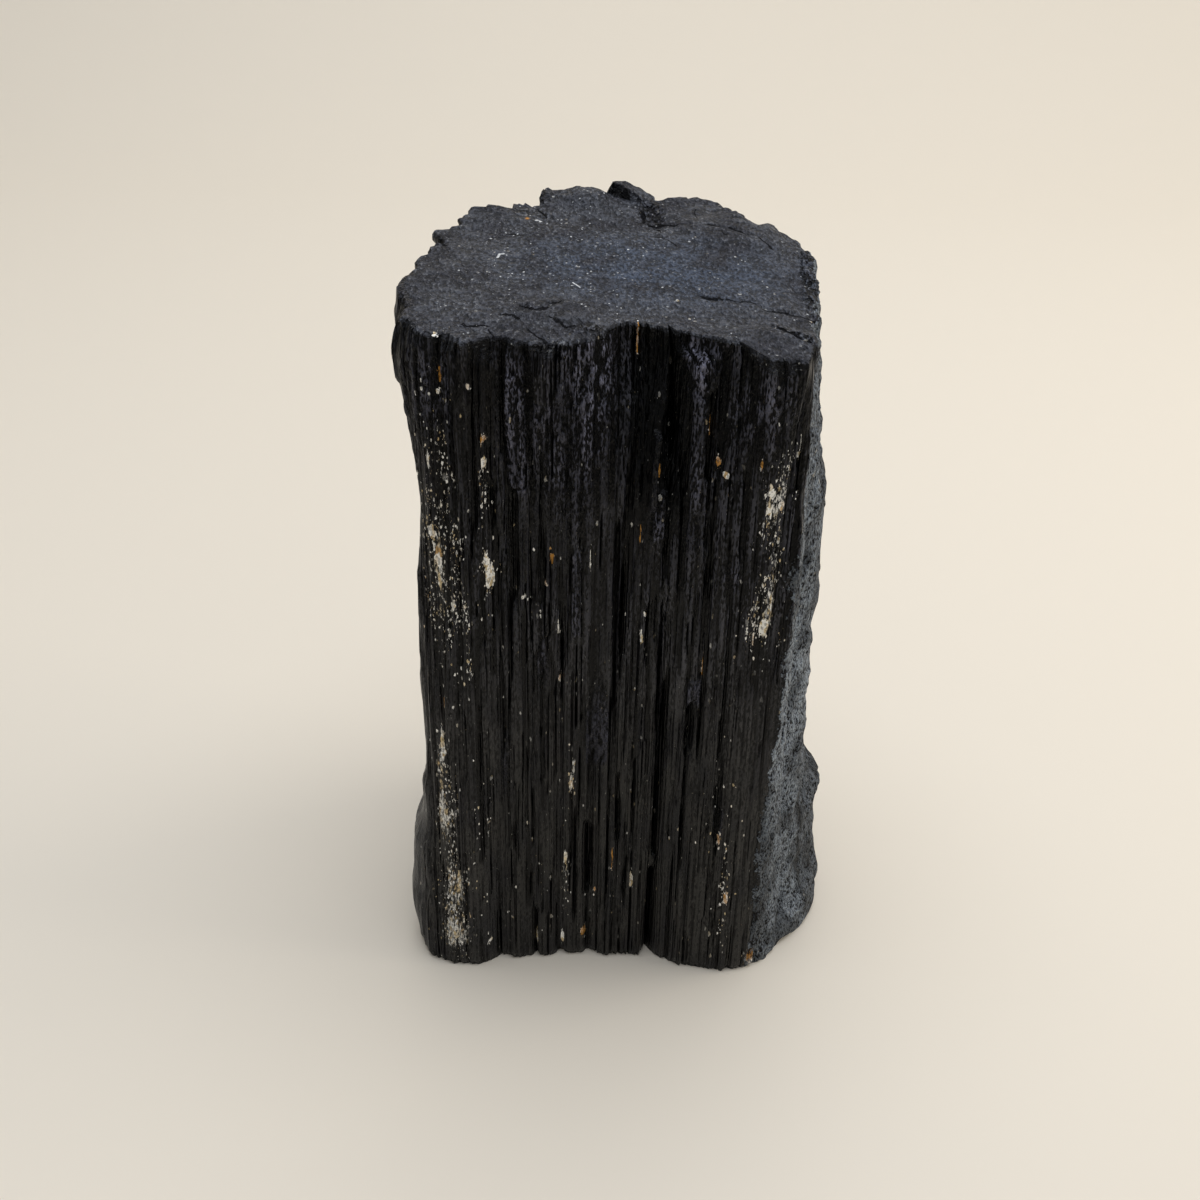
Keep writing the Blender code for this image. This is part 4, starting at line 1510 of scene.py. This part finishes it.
@dataclass(frozen=True)
class Weave:
    """A noise pattern stretched along the column.

    Attributes:
        across: size of a cell across the column, in millimetres.
        along: size of a cell along it.
        detail: how many finer patterns are added.
        roughness: how strong the finer ones are.
        shift: moves the pattern.
        deep: size of a cell from front to back, where it isn't the same as across.
    """

    across: float
    along: float
    detail: float = 3.0
    roughness: float = 0.55
    shift: float = 0.0
    deep: float | None = None

    def add(self, nodes: Nodes) -> Socket:
        """Adds the pattern on object coordinates and returns its value, about 0.3 to 0.7.

        Args:
            nodes: the material's nodes.

        Returns:
            The pattern's value.
        """
        scale = tuple(1.0 / (size * MM) for size in (self.across, self.deep or self.across, self.along))
        moved = nodes.add("Mapping", {"Vector": nodes.place, "Scale": scale, "Location": (self.shift,) * 3})
        return nodes.add("TexNoise", moved, 1.0, self.detail, self.roughness)


@dataclass(frozen=True)
class GrownFace:
    """Prism faces of schorl, as they grew: glassy black, with hair-fine lines along the column.

    Growth lines 0.2 to 2 mm apart break the gloss into upright streaks, painted into the colour as highlights
    on their crests and near-black shade in their valleys. Hackly patches are dull and slightly violet, and
    the lower half is painted warmer and lighter as a reflection of the pale floor.

    Hair and line are the growth lines, cloud an uneven sheen, frost the facets of hackly patches and fleck
    the short breaks in the lines. The painted reflection of the floor, in the film colour, starts at one
    height and is whole below another. Valley and crest are the brightness painted on the lines' lowest and
    highest places: shade and highlight.
    """

    black: str = "#19191c"
    # Painted reflection of the pale floor, laid on the lower part.
    film: str = "#262523"
    violet: str = "#33333a"
    smoothed: str = "#28292b"
    # The finest growth lines are about 0.1 mm apart, too fine to show, so hair is drawn four times as coarse.
    hair: Weave = Weave(across=0.42, along=16.0, detail=0.0)
    line: Weave = Weave(across=0.95, along=220.0, detail=1.0, shift=7.0)
    cloud: Weave = Weave(across=4.0, along=14.0, detail=1.0, shift=3.0)
    frost: Weave = Weave(across=0.36, along=0.95, detail=1.0, roughness=0.6, shift=11.0)
    fleck: Weave = Weave(across=0.34, along=1.05, detail=0.0, shift=15.0)
    floor_reflection_from: float = 105.0
    floor_reflection_full: float = 40.0
    # Painted shade in the lines' valleys and painted highlight on their crests.
    valley: float = 0.02
    crest: float = 2.15

    def add(self, nodes: Nodes) -> Layer:
        """Adds the finish.

        Args:
            nodes: the material's nodes.

        Returns:
            Its colour, roughness and relief.
        """
        hackle, worn = nodes.zone[Zone.HACKLE], nodes.zone[Zone.WORN]
        patterns = (self.hair, self.line, self.cloud, self.frost, self.fleck)
        hair, line, cloud, frost, fleck = (pattern.add(nodes) for pattern in patterns)
        height = nodes.add("SeparateXYZ", nodes.place, output="Z")
        # Painted reflection of the pale floor: the lower part warmer and lighter.
        low = nodes.add("MapRange", height, self.floor_reflection_from * MM, self.floor_reflection_full * MM)
        clouded = nodes.add("MapRange", cloud, 0.30, 0.60, 0.35, 1.0)
        floor_reflection = nodes.product(clouded, low)
        colour = nodes.add("Mix", floor_reflection, linear(self.black), linear(self.film), **COLOUR)
        coarse = nodes.add("MapRange", hackle, 0.15, 0.9, 0.0, 0.85)
        colour = nodes.add("Mix", coarse, colour, linear(self.violet), **COLOUR)
        # Painted highlights and shade of the lines, crests and clefts, with the tone.
        streaks = self.streaks(nodes, low, (hair, line, frost, fleck))
        shade = nodes.product(streaks, *self.shades(nodes, low, cloud))
        colour = nodes.add("VectorMath", colour, shade, **SCALE)
        dappled = nodes.add("MapRange", frost, 0.36, 0.6, 0.6, 1.2)
        polished = nodes.add("VectorMath", linear(self.smoothed)[:3], dappled, **SCALE)
        colour = nodes.add("Mix", worn, colour, polished, **COLOUR)
        gloss = nodes.add("MapRange", line, 0.38, 0.62, 0.46, 0.30)
        dull = nodes.add("MapRange", hackle, 0.1, 0.9, 0.0, 0.18)
        gloss = nodes.add("Math", gloss, dull, **ADD)
        kept = nodes.add("MapRange", worn, 0.0, 1.0, 1.0, 0.15)
        relief = nodes.product(nodes.weighed((hair, 0.34), (line, 0.6)), kept)
        grit = nodes.product(frost, nodes.add("MapRange", hackle, 0.0, 0.8, 0.20, 1.0))
        return Layer(colour, gloss, nodes.add("Math", relief, grit, **ADD))

    def streaks(self, nodes: Nodes, low: Socket, patterns: tuple[Socket, ...]) -> Socket:
        """Adds the painted streaks of the growth lines, highlights on their crests and shade in their
        valleys, and the facets that replace them on hackly places.

        Args:
            nodes: the material's nodes.
            low: one where the painted reflection of the floor lies, which evens the streaks.
            patterns: the hair, line, frost and fleck patterns.

        Returns:
            Brightness, from that of a valley to that of a crest.
        """
        lined = nodes.weighed(*zip(patterns, (0.30, 0.17, 0.22, 0.31)))
        gritty = nodes.weighed(*zip(patterns, (0.18, 0.10, 0.25, 0.25)))
        gritty = nodes.add("Math", gritty, 0.11, **ADD)
        share = nodes.add("MapRange", nodes.zone[Zone.HACKLE], 0.1, 0.8)
        mixed = nodes.add("Mix", share, lined, gritty)
        bright = nodes.add("MapRange", mixed, 0.464, 0.545, self.valley, self.crest)
        even = nodes.add("MapRange", mixed, 0.415, 0.49, 0.18, 1.14)
        return nodes.add("Mix", low, bright, even)

    def shades(self, nodes: Nodes, low: Socket, cloud: Socket) -> tuple[Socket, ...]:
        """Adds what brightens and darkens the face.

        Args:
            nodes: the material's nodes.
            low: one where the painted reflection of the floor lies.
            cloud: the cloud pattern.

        Returns:
            Factors for the painted highlight on the relief's crests, the painted shade in its clefts, the
            tone with its painted shade and the patchy sheen.
        """
        furrow = nodes.zone[Zone.RELIEF_SHADE_AND_WALL]
        # Painted highlight on the crests, evened on the lower part.
        raised_highlight = nodes.add("MapRange", furrow, 0.32, 0.50, 1.8, 1.0)
        raised_highlight = nodes.add("Mix", low, raised_highlight, 1.06)
        # Painted shade in the clefts.
        sunk = nodes.add("Math", furrow, nodes.product(low, 0.05), **LESS)
        sunk = nodes.add("MapRange", sunk, 0.50, 0.63, 1.0, 0.03)
        # The tone, with its painted shade in the hollow, the clefts and a seam.
        tone = nodes.add("MapRange", nodes.zone[Zone.TONE_AND_SHADE], 0.0, 1.0, 0.10, 1.9)
        patchy = nodes.add("MapRange", cloud, 0.38, 0.62, 0.55, 1.35)
        evened = nodes.add("MapRange", low, 0.0, 1.0, 0.0, 0.75)
        patchy = nodes.add("Mix", evened, patchy, 1.0)
        return raised_highlight, sunk, tone, patchy


@dataclass(frozen=True)
class Specks:
    """Separate specks: one in each cell of a scattered pattern, where the cell's own number allows it.

    Attributes:
        cell: size of a cell across the column and along it, in millimetres.
        reach: the largest half width of a speck, in cells.
        shift: moves the pattern.
    """

    cell: tuple[float, float]
    reach: float = 0.34
    shift: float = 0.0

    def add(self, nodes: Nodes, chance: Socket) -> tuple[Socket, Socket]:
        """Adds the specks, each where its number is under the chance.

        Args:
            nodes: the material's nodes.
            chance: how thickly the specks lie, from 0 to 1.

        Returns:
            Where the specks are, from 0 to 1, and a number of its own for each.
        """
        across, along = (1.0 / (size * MM) for size in self.cell)
        moved = {"Vector": nodes.place, "Scale": (across, across, along), "Location": (self.shift,) * 3}
        mapped = nodes.add("Mapping", moved)
        swirl = nodes.add("TexNoise", mapped, 2.0, 1.0, output="Color")
        bent = nodes.add("Mix", 0.35, mapped, swirl, **COLOUR)
        distance = nodes.add("TexVoronoi", {"Vector": bent, "Scale": 1.5, "Randomness": 1.0})
        drawn = nodes.add("SeparateXYZ", distance.node.outputs["Color"]).node.outputs
        allowed = nodes.add("Math", chance, drawn["X"], **LESS)
        allowed = nodes.add("MapRange", allowed, -0.02, 0.02)
        crowd = nodes.add("MapRange", chance, 0.55, 0.95, 0.0, 0.50)
        radius = nodes.add("Math", drawn["Y"], self.reach, 0.10, operation="MULTIPLY_ADD")
        radius = nodes.add("Math", radius, crowd, **ADD)
        room = nodes.add("Math", radius, distance, **LESS)
        return nodes.product(allowed, nodes.add("MapRange", room, -0.03, 0.05)), drawn["Z"]


@dataclass(frozen=True)
class Scratch:
    """A bright scratch on the upper break, between two points of the part's frame."""

    start: tuple[float, float]
    end: tuple[float, float]
    half_width: float = 0.2

    def add(self, nodes: Nodes) -> Socket:
        """Adds the distance to the line between the points, and returns one on it and zero off it.

        Args:
            nodes: the material's nodes.

        Returns:
            One on the scratch.
        """
        start, end = Vector((*self.start, 0.0)) * MM, Vector((*self.end, 0.0)) * MM
        way = end - start
        off = nodes.add("VectorMath", nodes.place, start, **LESS)
        off = nodes.add("VectorMath", off, (1.0, 1.0, 0.0), operation="MULTIPLY")
        share = nodes.add("VectorMath", off, way / way.length_squared, operation="DOT_PRODUCT")
        nearest = nodes.add("VectorMath", way, nodes.add("Clamp", share), **SCALE)
        distance = nodes.add("VectorMath", off, nearest, operation="DISTANCE")
        half = self.half_width * MM
        return nodes.add("MapRange", distance, half * 1.7, half * 0.4)


@dataclass(frozen=True)
class UpperBreak:
    """The cross break: matt slate-grey, hackly, with tiny glinting specks and hairline cracks.

    Schorl breaks unevenly across its length. The break's micro-steps scatter light in all directions, which
    gives the eye a soft grey, blue-tinged where a clean step faces the sky; that sheen of the sky is painted
    into the colour. Positions are those of the part's own frame.

    Cloud is its patches of light and dark, chip its hackles and grit its fine grain. Bend is how far a
    noise bends the cracks, in millimetres.
    """

    slate: str = "#393b40"
    dark: str = "#292a2f"
    # Painted sheen of the sky.
    blue: str = "#343d4b"
    speck: str = "#c9cac8"
    rusty: str = "#a5702c"
    # Painted shade inside the cracks.
    crack: str = "#060607"
    cloud: Weave = Weave(across=7.0, along=7.0, detail=3.0, roughness=0.6, shift=2.0)
    chip: Weave = Weave(across=2.2, along=2.2, detail=1.0, roughness=0.6, shift=4.0)
    # The break's grain is about 0.2 mm, too fine to show, and is drawn at three times that.
    grit: Weave = Weave(across=0.60, along=0.60, detail=1.0, roughness=0.7, shift=5.0, deep=0.95)
    glints: Specks = Specks(cell=(0.66, 0.80), reach=0.24, shift=13.0)
    bend: float = 2.0
    scratches: tuple[Scratch, ...] = (
        Scratch((-20.0, 14.4), (-18.8, 15.0), 0.24),
        Scratch((-25.9, -2.6), (-25.6, -1.2)),
        Scratch((-25.6, -1.2), (-24.9, -1.1)),
        Scratch((-11.9, -11.0), (-10.6, -12.8), 0.12),
    )
    stain: Scratch = Scratch((-21.3, 14.3), (-21.2, 14.6), 0.36)

    def add(self, nodes: Nodes) -> Layer:
        """Adds the finish.

        Args:
            nodes: the material's nodes.

        Returns:
            Its colour, roughness and relief.
        """
        hackle = nodes.zone[Zone.HACKLE]
        cloud, chip, grit = (pattern.add(nodes) for pattern in (self.cloud, self.chip, self.grit))
        clouded = nodes.add("MapRange", cloud, 0.34, 0.62)
        colour = nodes.add("Mix", clouded, linear(self.dark), linear(self.slate), **COLOUR)
        # Painted sheen of the sky, blue, in an oval at the back.
        painted_sky_sheen = nodes.product(self.painted_sky_sheen(nodes, cloud), 0.8)
        colour = nodes.add("Mix", painted_sky_sheen, colour, linear(self.blue), **COLOUR)
        shade = self.shade(nodes, nodes.weighed((grit, 0.72), (chip, 0.28)))
        colour = nodes.add("VectorMath", colour, shade, **SCALE)
        glossy = nodes.add("MapRange", grit, 0.62, 0.74, 0.0, 0.12)
        colour = nodes.add("Mix", glossy, colour, linear(self.speck), **COLOUR)
        # The cracks: painted near black, as the shade inside them, and fully rough.
        crack_shade = self.crack_shade(nodes)
        colour = nodes.add("Mix", nodes.product(crack_shade, 0.9), colour, linear(self.crack), **COLOUR)
        lit = self.lit(nodes, cloud)
        colour = nodes.add("Mix", lit, colour, linear(self.speck), **COLOUR)
        stained = self.stain.add(nodes)
        colour = nodes.add("Mix", stained, colour, linear(self.rusty), **COLOUR)
        coarse = nodes.add("MapRange", hackle, 0.0, 1.0, 1.0, 1.8)
        relief = nodes.product(nodes.weighed((grit, 0.7), (chip, 0.8)), coarse)
        gloss = nodes.add("MapRange", cloud, 0.3, 0.65, 0.62, 0.46)
        return Layer(colour, nodes.add("Math", gloss, crack_shade, **LARGER), relief)

    def painted_sky_sheen(self, nodes: Nodes, cloud: Socket) -> Socket:
        """Adds the painted sheen of the sky: a blue oval at the back, left of its middle, broken up by the
        clouds.

        Args:
            nodes: the material's nodes.
            cloud: the cloud pattern.

        Returns:
            One in the place's middle.
        """
        oval = {"Vector": nodes.place, "Location": (-0.13, 0.16, 0.0), "Scale": (26.0, 48.0, 0.0),
                "Rotation": (0.0, 0.0, 0.30)}
        reach = nodes.add("VectorMath", nodes.add("Mapping", oval), operation="LENGTH")
        near = nodes.add("MapRange", reach, 1.0, 0.2)
        return nodes.product(near, nodes.add("MapRange", cloud, 0.30, 0.55))

    def shade(self, nodes: Nodes, speckled: Socket) -> Socket:
        """Adds the grain's light and dark, stronger where the break is torn and dark on the wall.

        Args:
            nodes: the material's nodes.
            speckled: the grain's pattern.

        Returns:
            A factor for the colour.
        """
        plain = nodes.add("MapRange", speckled, 0.40, 0.60, 0.44, 1.48)
        torn = nodes.add("MapRange", speckled, 0.44, 0.62, 0.03, 2.0)
        shade = nodes.add("Mix", nodes.zone[Zone.HACKLE], plain, torn)
        wall = nodes.add("MapRange", nodes.zone[Zone.RELIEF_SHADE_AND_WALL], 0.15, 0.55, 1.0, 0.06)
        return nodes.product(shade, wall)

    def crack_shade(self, nodes: Nodes) -> Socket:
        """Adds the cracks, where shade is painted: where the distance to the nearest, bent by a noise, is
        under its half width.

        Args:
            nodes: the material's nodes.

        Returns:
            One on a crack.
        """
        swirl = nodes.add("TexNoise", nodes.place, 480.0, 2.0)
        swirl = nodes.add("Math", swirl, 0.5, **LESS)
        bent = nodes.add("Math", swirl, self.bend, nodes.zone[Zone.SPLIT], operation="MULTIPLY_ADD")
        bent = nodes.add("Math", bent, operation="ABSOLUTE")
        room = nodes.add("Math", nodes.zone[Zone.GAPE], bent, **LESS)
        return nodes.add("MapRange", room, -0.02, 0.08)

    def lit(self, nodes: Nodes, cloud: Socket) -> Socket:
        """Adds the glints, thickest at the left, and the scratches.

        Args:
            nodes: the material's nodes.
            cloud: the cloud pattern.

        Returns:
            One on a glint or a scratch.
        """
        spread = {"Vector": nodes.place, "Location": (0.60, 0.0, 0.0), "Scale": (44.0, 36.0, 0.0)}
        away = nodes.add("VectorMath", nodes.add("Mapping", spread), operation="LENGTH")
        chance = nodes.add("MapRange", away, 1.1, 0.2, 0.0, 0.26)
        clouded = nodes.add("MapRange", cloud, 0.48, 0.62, 0.010, 0.14)
        lit, bright = self.glints.add(nodes, nodes.add("Math", chance, clouded, **ADD))
        lit = nodes.product(lit, nodes.add("MapRange", bright, 0.0, 1.0, 0.25, 0.9))
        for scratch in self.scratches:
            lit = nodes.add("Math", lit, scratch.add(nodes), **LARGER)
        return lit


@dataclass(frozen=True)
class BrokenSide:
    """The torn right side: coarse granular stone, grey-blue, with painted shade in its pits.

    The crystal parted here along a bed of small intergrown needles, whose ends make a surface like
    coarse sandpaper that catches light everywhere but in its pits.

    Coarse is its larger lumps, sand its grit and bed its dull patches.
    """

    pale: str = "#90989f"
    grey: str = "#5a5f65"
    shadow: str = "#26282b"
    # Painted shade in the pits.
    pit: str = "#08080a"
    coarse: Weave = Weave(across=2.0, along=2.6, detail=1.0, shift=19.0)
    sand: Weave = Weave(across=0.48, along=0.80, detail=1.0, roughness=0.7, shift=23.0)
    bed: Weave = Weave(across=7.0, along=11.0, detail=1.0, shift=43.0)

    def add(self, nodes: Nodes) -> Layer:
        """Adds the finish.

        Args:
            nodes: the material's nodes.

        Returns:
            Its colour, roughness and relief.
        """
        coarse, sand = self.coarse.add(nodes), self.sand.add(nodes)
        mixed = nodes.weighed((coarse, 0.30), (sand, 0.70))
        bright = nodes.add("MapRange", mixed, 0.43, 0.64)
        colour = nodes.add("Mix", bright, linear(self.grey), linear(self.pale), **COLOUR)
        dull = nodes.add("MapRange", self.bed.add(nodes), 0.46, 0.62)
        colour = nodes.add("Mix", nodes.product(dull, 0.6), colour, linear(self.shadow), **COLOUR)
        # Painted shade in the pits: the low places of the pattern, more of them where the tone is dark.
        pit_shade = nodes.add("MapRange", nodes.zone[Zone.TONE_AND_SHADE], 0.24, 0.50, -0.022, 0.004)
        pit_shade = nodes.add("Math", mixed, pit_shade, **ADD)
        pit_shade = nodes.add("MapRange", pit_shade, 0.438, 0.400)
        colour = nodes.add("Mix", pit_shade, colour, linear(self.pit), **COLOUR)
        # The tone, with painted shade in the seam beside the knob.
        shade = nodes.add("MapRange", nodes.zone[Zone.TONE_AND_SHADE], 0.0, 1.0, 0.10, 1.9)
        colour = nodes.add("VectorMath", colour, shade, **SCALE)
        rough = nodes.add("MapRange", sand, 0.3, 0.7, 0.72, 0.55)
        return Layer(colour, rough, nodes.weighed((coarse, 1.0), (sand, 1.2)))


@dataclass(frozen=True)
class MineralGrains:
    """Pale grains lodged in the furrows: feldspar and mica, cream to white, stained by iron in places.

    Mottle is the light and dark on a grain, and powder the crumbs and flour between the grains.
    """

    white: str = "#f2efe6"
    cream: str = "#cfba90"
    rusty: str = "#b07d38"
    fine: Specks = Specks(cell=(0.60, 1.30), reach=0.26, shift=29.0)
    middle: Specks = Specks(cell=(1.0, 2.3), reach=0.26, shift=31.0)
    large: Specks = Specks(cell=(0.8, 1.9), reach=0.34, shift=35.0)
    mottle: Weave = Weave(across=0.45, along=0.7, detail=1.0, shift=33.0)
    powder: Weave = Weave(across=0.36, along=1.10, detail=2.0, roughness=0.7, shift=39.0)

    def add(self, nodes: Nodes) -> tuple[Socket, Layer]:
        """Adds the grains.

        Args:
            nodes: the material's nodes.

        Returns:
            Where they are, from 0 to 1, and their colour, roughness and relief.
        """
        dust = nodes.zone[Zone.DUST]
        fine, tint = self.fine.add(nodes, dust)
        middle, _ = self.middle.add(nodes, nodes.product(dust, dust, 0.75))
        large, _ = self.large.add(nodes, nodes.add("MapRange", dust, 0.55, 0.95))
        where = fine
        for others in (middle, large, *self.powdered(nodes)):
            where = nodes.add("Math", where, others, **LARGER)
        mottle = self.mottle.add(nodes)
        creamy = nodes.add("MapRange", tint, 0.45, 0.95)
        colour = nodes.add("Mix", creamy, linear(self.white), linear(self.cream), **COLOUR)
        stained = nodes.add("Math", nodes.zone[Zone.RUST], nodes.product(tint, 0.25), **ADD)
        stained = nodes.add("MapRange", stained, 0.52, 0.90)
        colour = nodes.add("Mix", stained, colour, linear(self.rusty), **COLOUR)
        shade = nodes.add("MapRange", mottle, 0.34, 0.54, 0.55, 1.15)
        colour = nodes.add("VectorMath", colour, shade, **SCALE)
        return where, Layer(colour, nodes.add("MapRange", mottle, 0.3, 0.7, 0.75, 0.9))

    def powdered(self, nodes: Nodes) -> tuple[Socket, Socket]:
        """Adds the flour of the powdered patches and the crumbs among the grains.

        Args:
            nodes: the material's nodes.

        Returns:
            Both, from 0 to 1.
        """
        powder = self.powder.add(nodes)
        flour = nodes.add("MapRange", nodes.zone[Zone.FILM], 0.0, 1.0, -0.24, 0.12)
        flour = nodes.add("Math", powder, flour, **ADD)
        flour = nodes.add("MapRange", flour, 0.45, 0.64, 0.0, 0.85)
        crumbs = nodes.add("MapRange", nodes.zone[Zone.DUST], 0.02, 0.50, -0.28, -0.085)
        crumbs = nodes.add("Math", powder, crumbs, **ADD)
        return flour, nodes.add("MapRange", crumbs, 0.50, 0.56)


@dataclass(frozen=True)
class SchorlMaterial:
    """Schorl, the black iron tourmaline: grown faces, breaks and lodged grains in one material.

    Attributes:
        ior: refractive index of tourmaline.
        sheen: specular level; low, because etched growth lines swallow most of the mirror light.
        ragged: pattern that frays the borders between finishes.
        fray: how strongly it does.
    """

    ior: float = 1.62
    sheen: float = 0.12
    ragged: Weave = Weave(across=0.8, along=1.2, detail=2.0, shift=37.0)
    fray: float = 1.3

    def build(self) -> bpy.types.Material:
        """Makes the material: each finish is laid over the last by the zone it belongs to.

        Returns:
            The material.
        """
        made = bpy.data.materials.new("schorl_black_tourmaline")
        made.use_nodes = True
        nodes = Nodes(made.node_tree)
        ragged = self.ragged.add(nodes)
        layer = GrownFace().add(nodes)
        for finish, border in ((BrokenSide(), Zone.BROKEN), (UpperBreak(), Zone.UPPER)):
            share = self.edge(nodes, nodes.zone[border], ragged)
            layer = self.over(nodes, share, layer, finish.add(nodes))
        where, grains = MineralGrains().add(nodes)
        layer = self.over(nodes, where, layer, grains)
        bump = nodes.add("Bump", {"Strength": 1.0, "Distance": MM, "Height": layer.relief})
        shader = nodes.add("BsdfPrincipled", {
            "Base Color": layer.colour, "Roughness": layer.roughness, "IOR": self.ior,
            "Specular IOR Level": self.sheen, "Normal": bump})
        nodes.add("OutputMaterial", {"Surface": shader})
        return made

    def edge(self, nodes: Nodes, zone: Socket, ragged: Socket) -> Socket:
        """Sharpens a zone's border and makes it ragged."""
        spread = nodes.product(nodes.add("Math", ragged, 0.5, **LESS), self.fray)
        return nodes.add("MapRange", nodes.add("Math", zone, spread, **ADD), 0.42, 0.58)

    def over(self, nodes: Nodes, share: Socket, below: Layer, above: Layer) -> Layer:
        """Lays one finish over another.

        Args:
            nodes: the material's nodes.
            share: where the upper finish is, from 0 to 1.
            below: the lower finish.
            above: the upper finish; where it has no relief, the lower one's stays.

        Returns:
            The two as one finish.
        """
        colour = nodes.add("Mix", share, below.colour, above.colour, **COLOUR)
        rough = nodes.add("Mix", share, below.roughness, above.roughness)
        if above.relief is None:
            return Layer(colour, rough, below.relief)
        return Layer(colour, rough, nodes.add("Mix", share, below.relief, above.relief))


# -------------------------------- studio


@dataclass(frozen=True)
class Lamp:
    """A square soft lamp.

    Its place and the length of its side are millimetres, and its power is watts.
    """

    name: str
    place: tuple[float, float, float]
    size: float
    power: float
    tone: str


@dataclass(frozen=True)
class Studio:
    """A plain pale sweep, soft lamps, and a camera that looks down on the stone from the front.

    The sweep runs from its near edge to where it starts to bend, and bends up by its radius into a wall.
    The card, a painted shadow on the floor below the camera that only reflections see, is given by its left
    front and right back corners and its height. The pitch is how far the camera looks down and the roll how
    far it is turned about its line of sight, in degrees.
    """

    paper: str = "#e3dac9"
    half_width: float = 1600.0
    near_edge: float = -1600.0
    bend_start: float = 430.0
    bend_radius: float = 260.0
    wall_height: float = 900.0
    lamps: tuple[Lamp, ...] = (
        Lamp("sky_panel", (60.0, 60.0, 1000.0), 900.0, 8.6, "#eef3ff"),
        Lamp("window_panel", (760.0, 60.0, 520.0), 500.0, 2.2, "#fff6ea"),
    )
    aim: tuple[float, float, float] = (0.0, 0.0, 70.0)
    # Colour of a painted shadow on the floor below the camera, seen only in reflections.
    card: str = "#101010"
    floor_shadow_corners: tuple[float, float, float, float, float] = (-500.0, -900.0, 500.0, -225.0, 3.0)
    air: str = "#eef0f2"
    air_strength: float = 0.36
    lens: float = 48.0
    sensor: float = 36.0
    pitch: float = 35.0
    roll: float = 1.25
    eye: tuple[float, float, float] = (-5.82, -277.48, 269.0)

    def build(self) -> None:
        """Adds the sweep, the lamps, the world and the camera."""
        self.add_sweep()
        for lamp in self.lamps:
            self.add_lamp(lamp)
        self.add_floor_shadow()
        self.add_world()
        self.add_camera()

    def add_sweep(self) -> None:
        """A floor that bends up into a wall: a level run, a quarter circle and an upright run."""
        turn = np.linspace(0.0, math.pi / 2.0, 13)
        bend = self.bend_start + self.bend_radius * np.sin(turn)
        along = np.concatenate(([self.near_edge], bend, [self.bend_start + self.bend_radius]))
        up = np.concatenate(([0.0], self.bend_radius * (1.0 - np.cos(turn)), [self.wall_height]))
        side = np.array((-self.half_width, self.half_width))
        count = len(along)
        points = np.stack((np.repeat(side, count), np.tile(along, 2), np.tile(up, 2)), axis=1) * MM
        row = np.arange(count - 1)
        faces = np.stack((row + 1, row, row + count, row + count + 1), axis=1)
        data = bpy.data.meshes.new("studio_sweep")
        data.from_pydata(points, [], faces)
        data.shade_smooth()
        sweep = self.add_object(data, self.flat_material("studio_paper", self.paper, 0.9))

    def flat_material(self, name: str, tone: str, roughness: float) -> bpy.types.Material:
        """A plain material of one colour and one roughness.

        Args:
            name: the material's name.
            tone: its colour.
            roughness: its roughness.

        Returns:
            The material.
        """
        made = bpy.data.materials.new(name)
        made.use_nodes = True
        shader = made.node_tree.nodes["Principled BSDF"]
        shader.inputs["Base Color"].default_value = linear(tone)
        shader.inputs["Roughness"].default_value = roughness
        return made

    def add_object(self, data: bpy.types.Mesh, material: bpy.types.Material) -> bpy.types.Object:
        """Makes an object of a mesh, under the mesh's name.

        Args:
            data: the mesh.
            material: what dresses it.

        Returns:
            The object.
        """
        data.materials.append(material)
        made = bpy.data.objects.new(data.name, data)
        bpy.context.scene.collection.objects.link(made)
        return made

    def add_lamp(self, lamp: Lamp) -> None:
        """Adds a lamp that faces the stone.

        Args:
            lamp: the lamp's sizes.
        """
        light = bpy.data.lights.new(lamp.name, "AREA")
        light.shape = "SQUARE"
        light.size = lamp.size * MM
        light.energy = lamp.power
        light.color = linear(lamp.tone)[:3]
        made = bpy.data.objects.new(lamp.name, light)
        made.location = Vector(lamp.place) * MM
        way = Vector(self.aim) * MM - made.location
        made.rotation_euler = way.to_track_quat("-Z", "Y").to_euler()
        bpy.context.scene.collection.objects.link(made)

    def add_floor_shadow(self) -> None:
        """A black card on the floor below the camera, seen in reflections alone: a painted shadow that
        darkens what the stone's upper front reflects.
        """
        left, near, right, far, up = self.floor_shadow_corners
        corners = np.array(((left, near, up), (right, near, up), (right, far, up), (left, far, up)))
        data = bpy.data.meshes.new("floor_shadow_flag")
        data.from_pydata(corners * MM, [], [(0, 1, 2, 3)])
        flag = self.add_object(data, self.flat_material("floor_shadow_black", self.card, 0.5))
        flag.visible_camera = False
        flag.visible_diffuse = False
        flag.visible_shadow = False

    def add_world(self) -> None:
        """Even soft light from all round."""
        world = bpy.data.worlds.new("studio_air")
        bpy.context.scene.world = world
        world.use_nodes = True
        back = world.node_tree.nodes["Background"]
        back.inputs["Color"].default_value = linear(self.air)
        back.inputs["Strength"].default_value = self.air_strength

    def add_camera(self) -> None:
        """The camera: pitched down, and turned a little about its own line of sight."""
        lens = bpy.data.cameras.new("camera")
        lens.lens = self.lens
        lens.sensor_width = self.sensor
        lens.clip_start = 0.01
        camera = bpy.data.objects.new("camera", lens)
        stand = Matrix.Translation(Vector(self.eye) * MM)
        pitched = Matrix.Rotation(math.radians(90.0 - self.pitch), 4, "X")
        camera.matrix_world = stand @ pitched @ Matrix.Rotation(math.radians(self.roll), 4, "Z")
        bpy.context.scene.collection.objects.link(camera)
        bpy.context.scene.camera = camera


def main() -> None:
    """Builds the stone and the studio."""
    logging.basicConfig(level=logging.INFO, format="%(name)s: %(message)s")
    TourmalineStone().build()
    Studio().build()
    bpy.context.scene.view_settings.view_transform = "Standard"


if __name__ == "__main__":
    main()
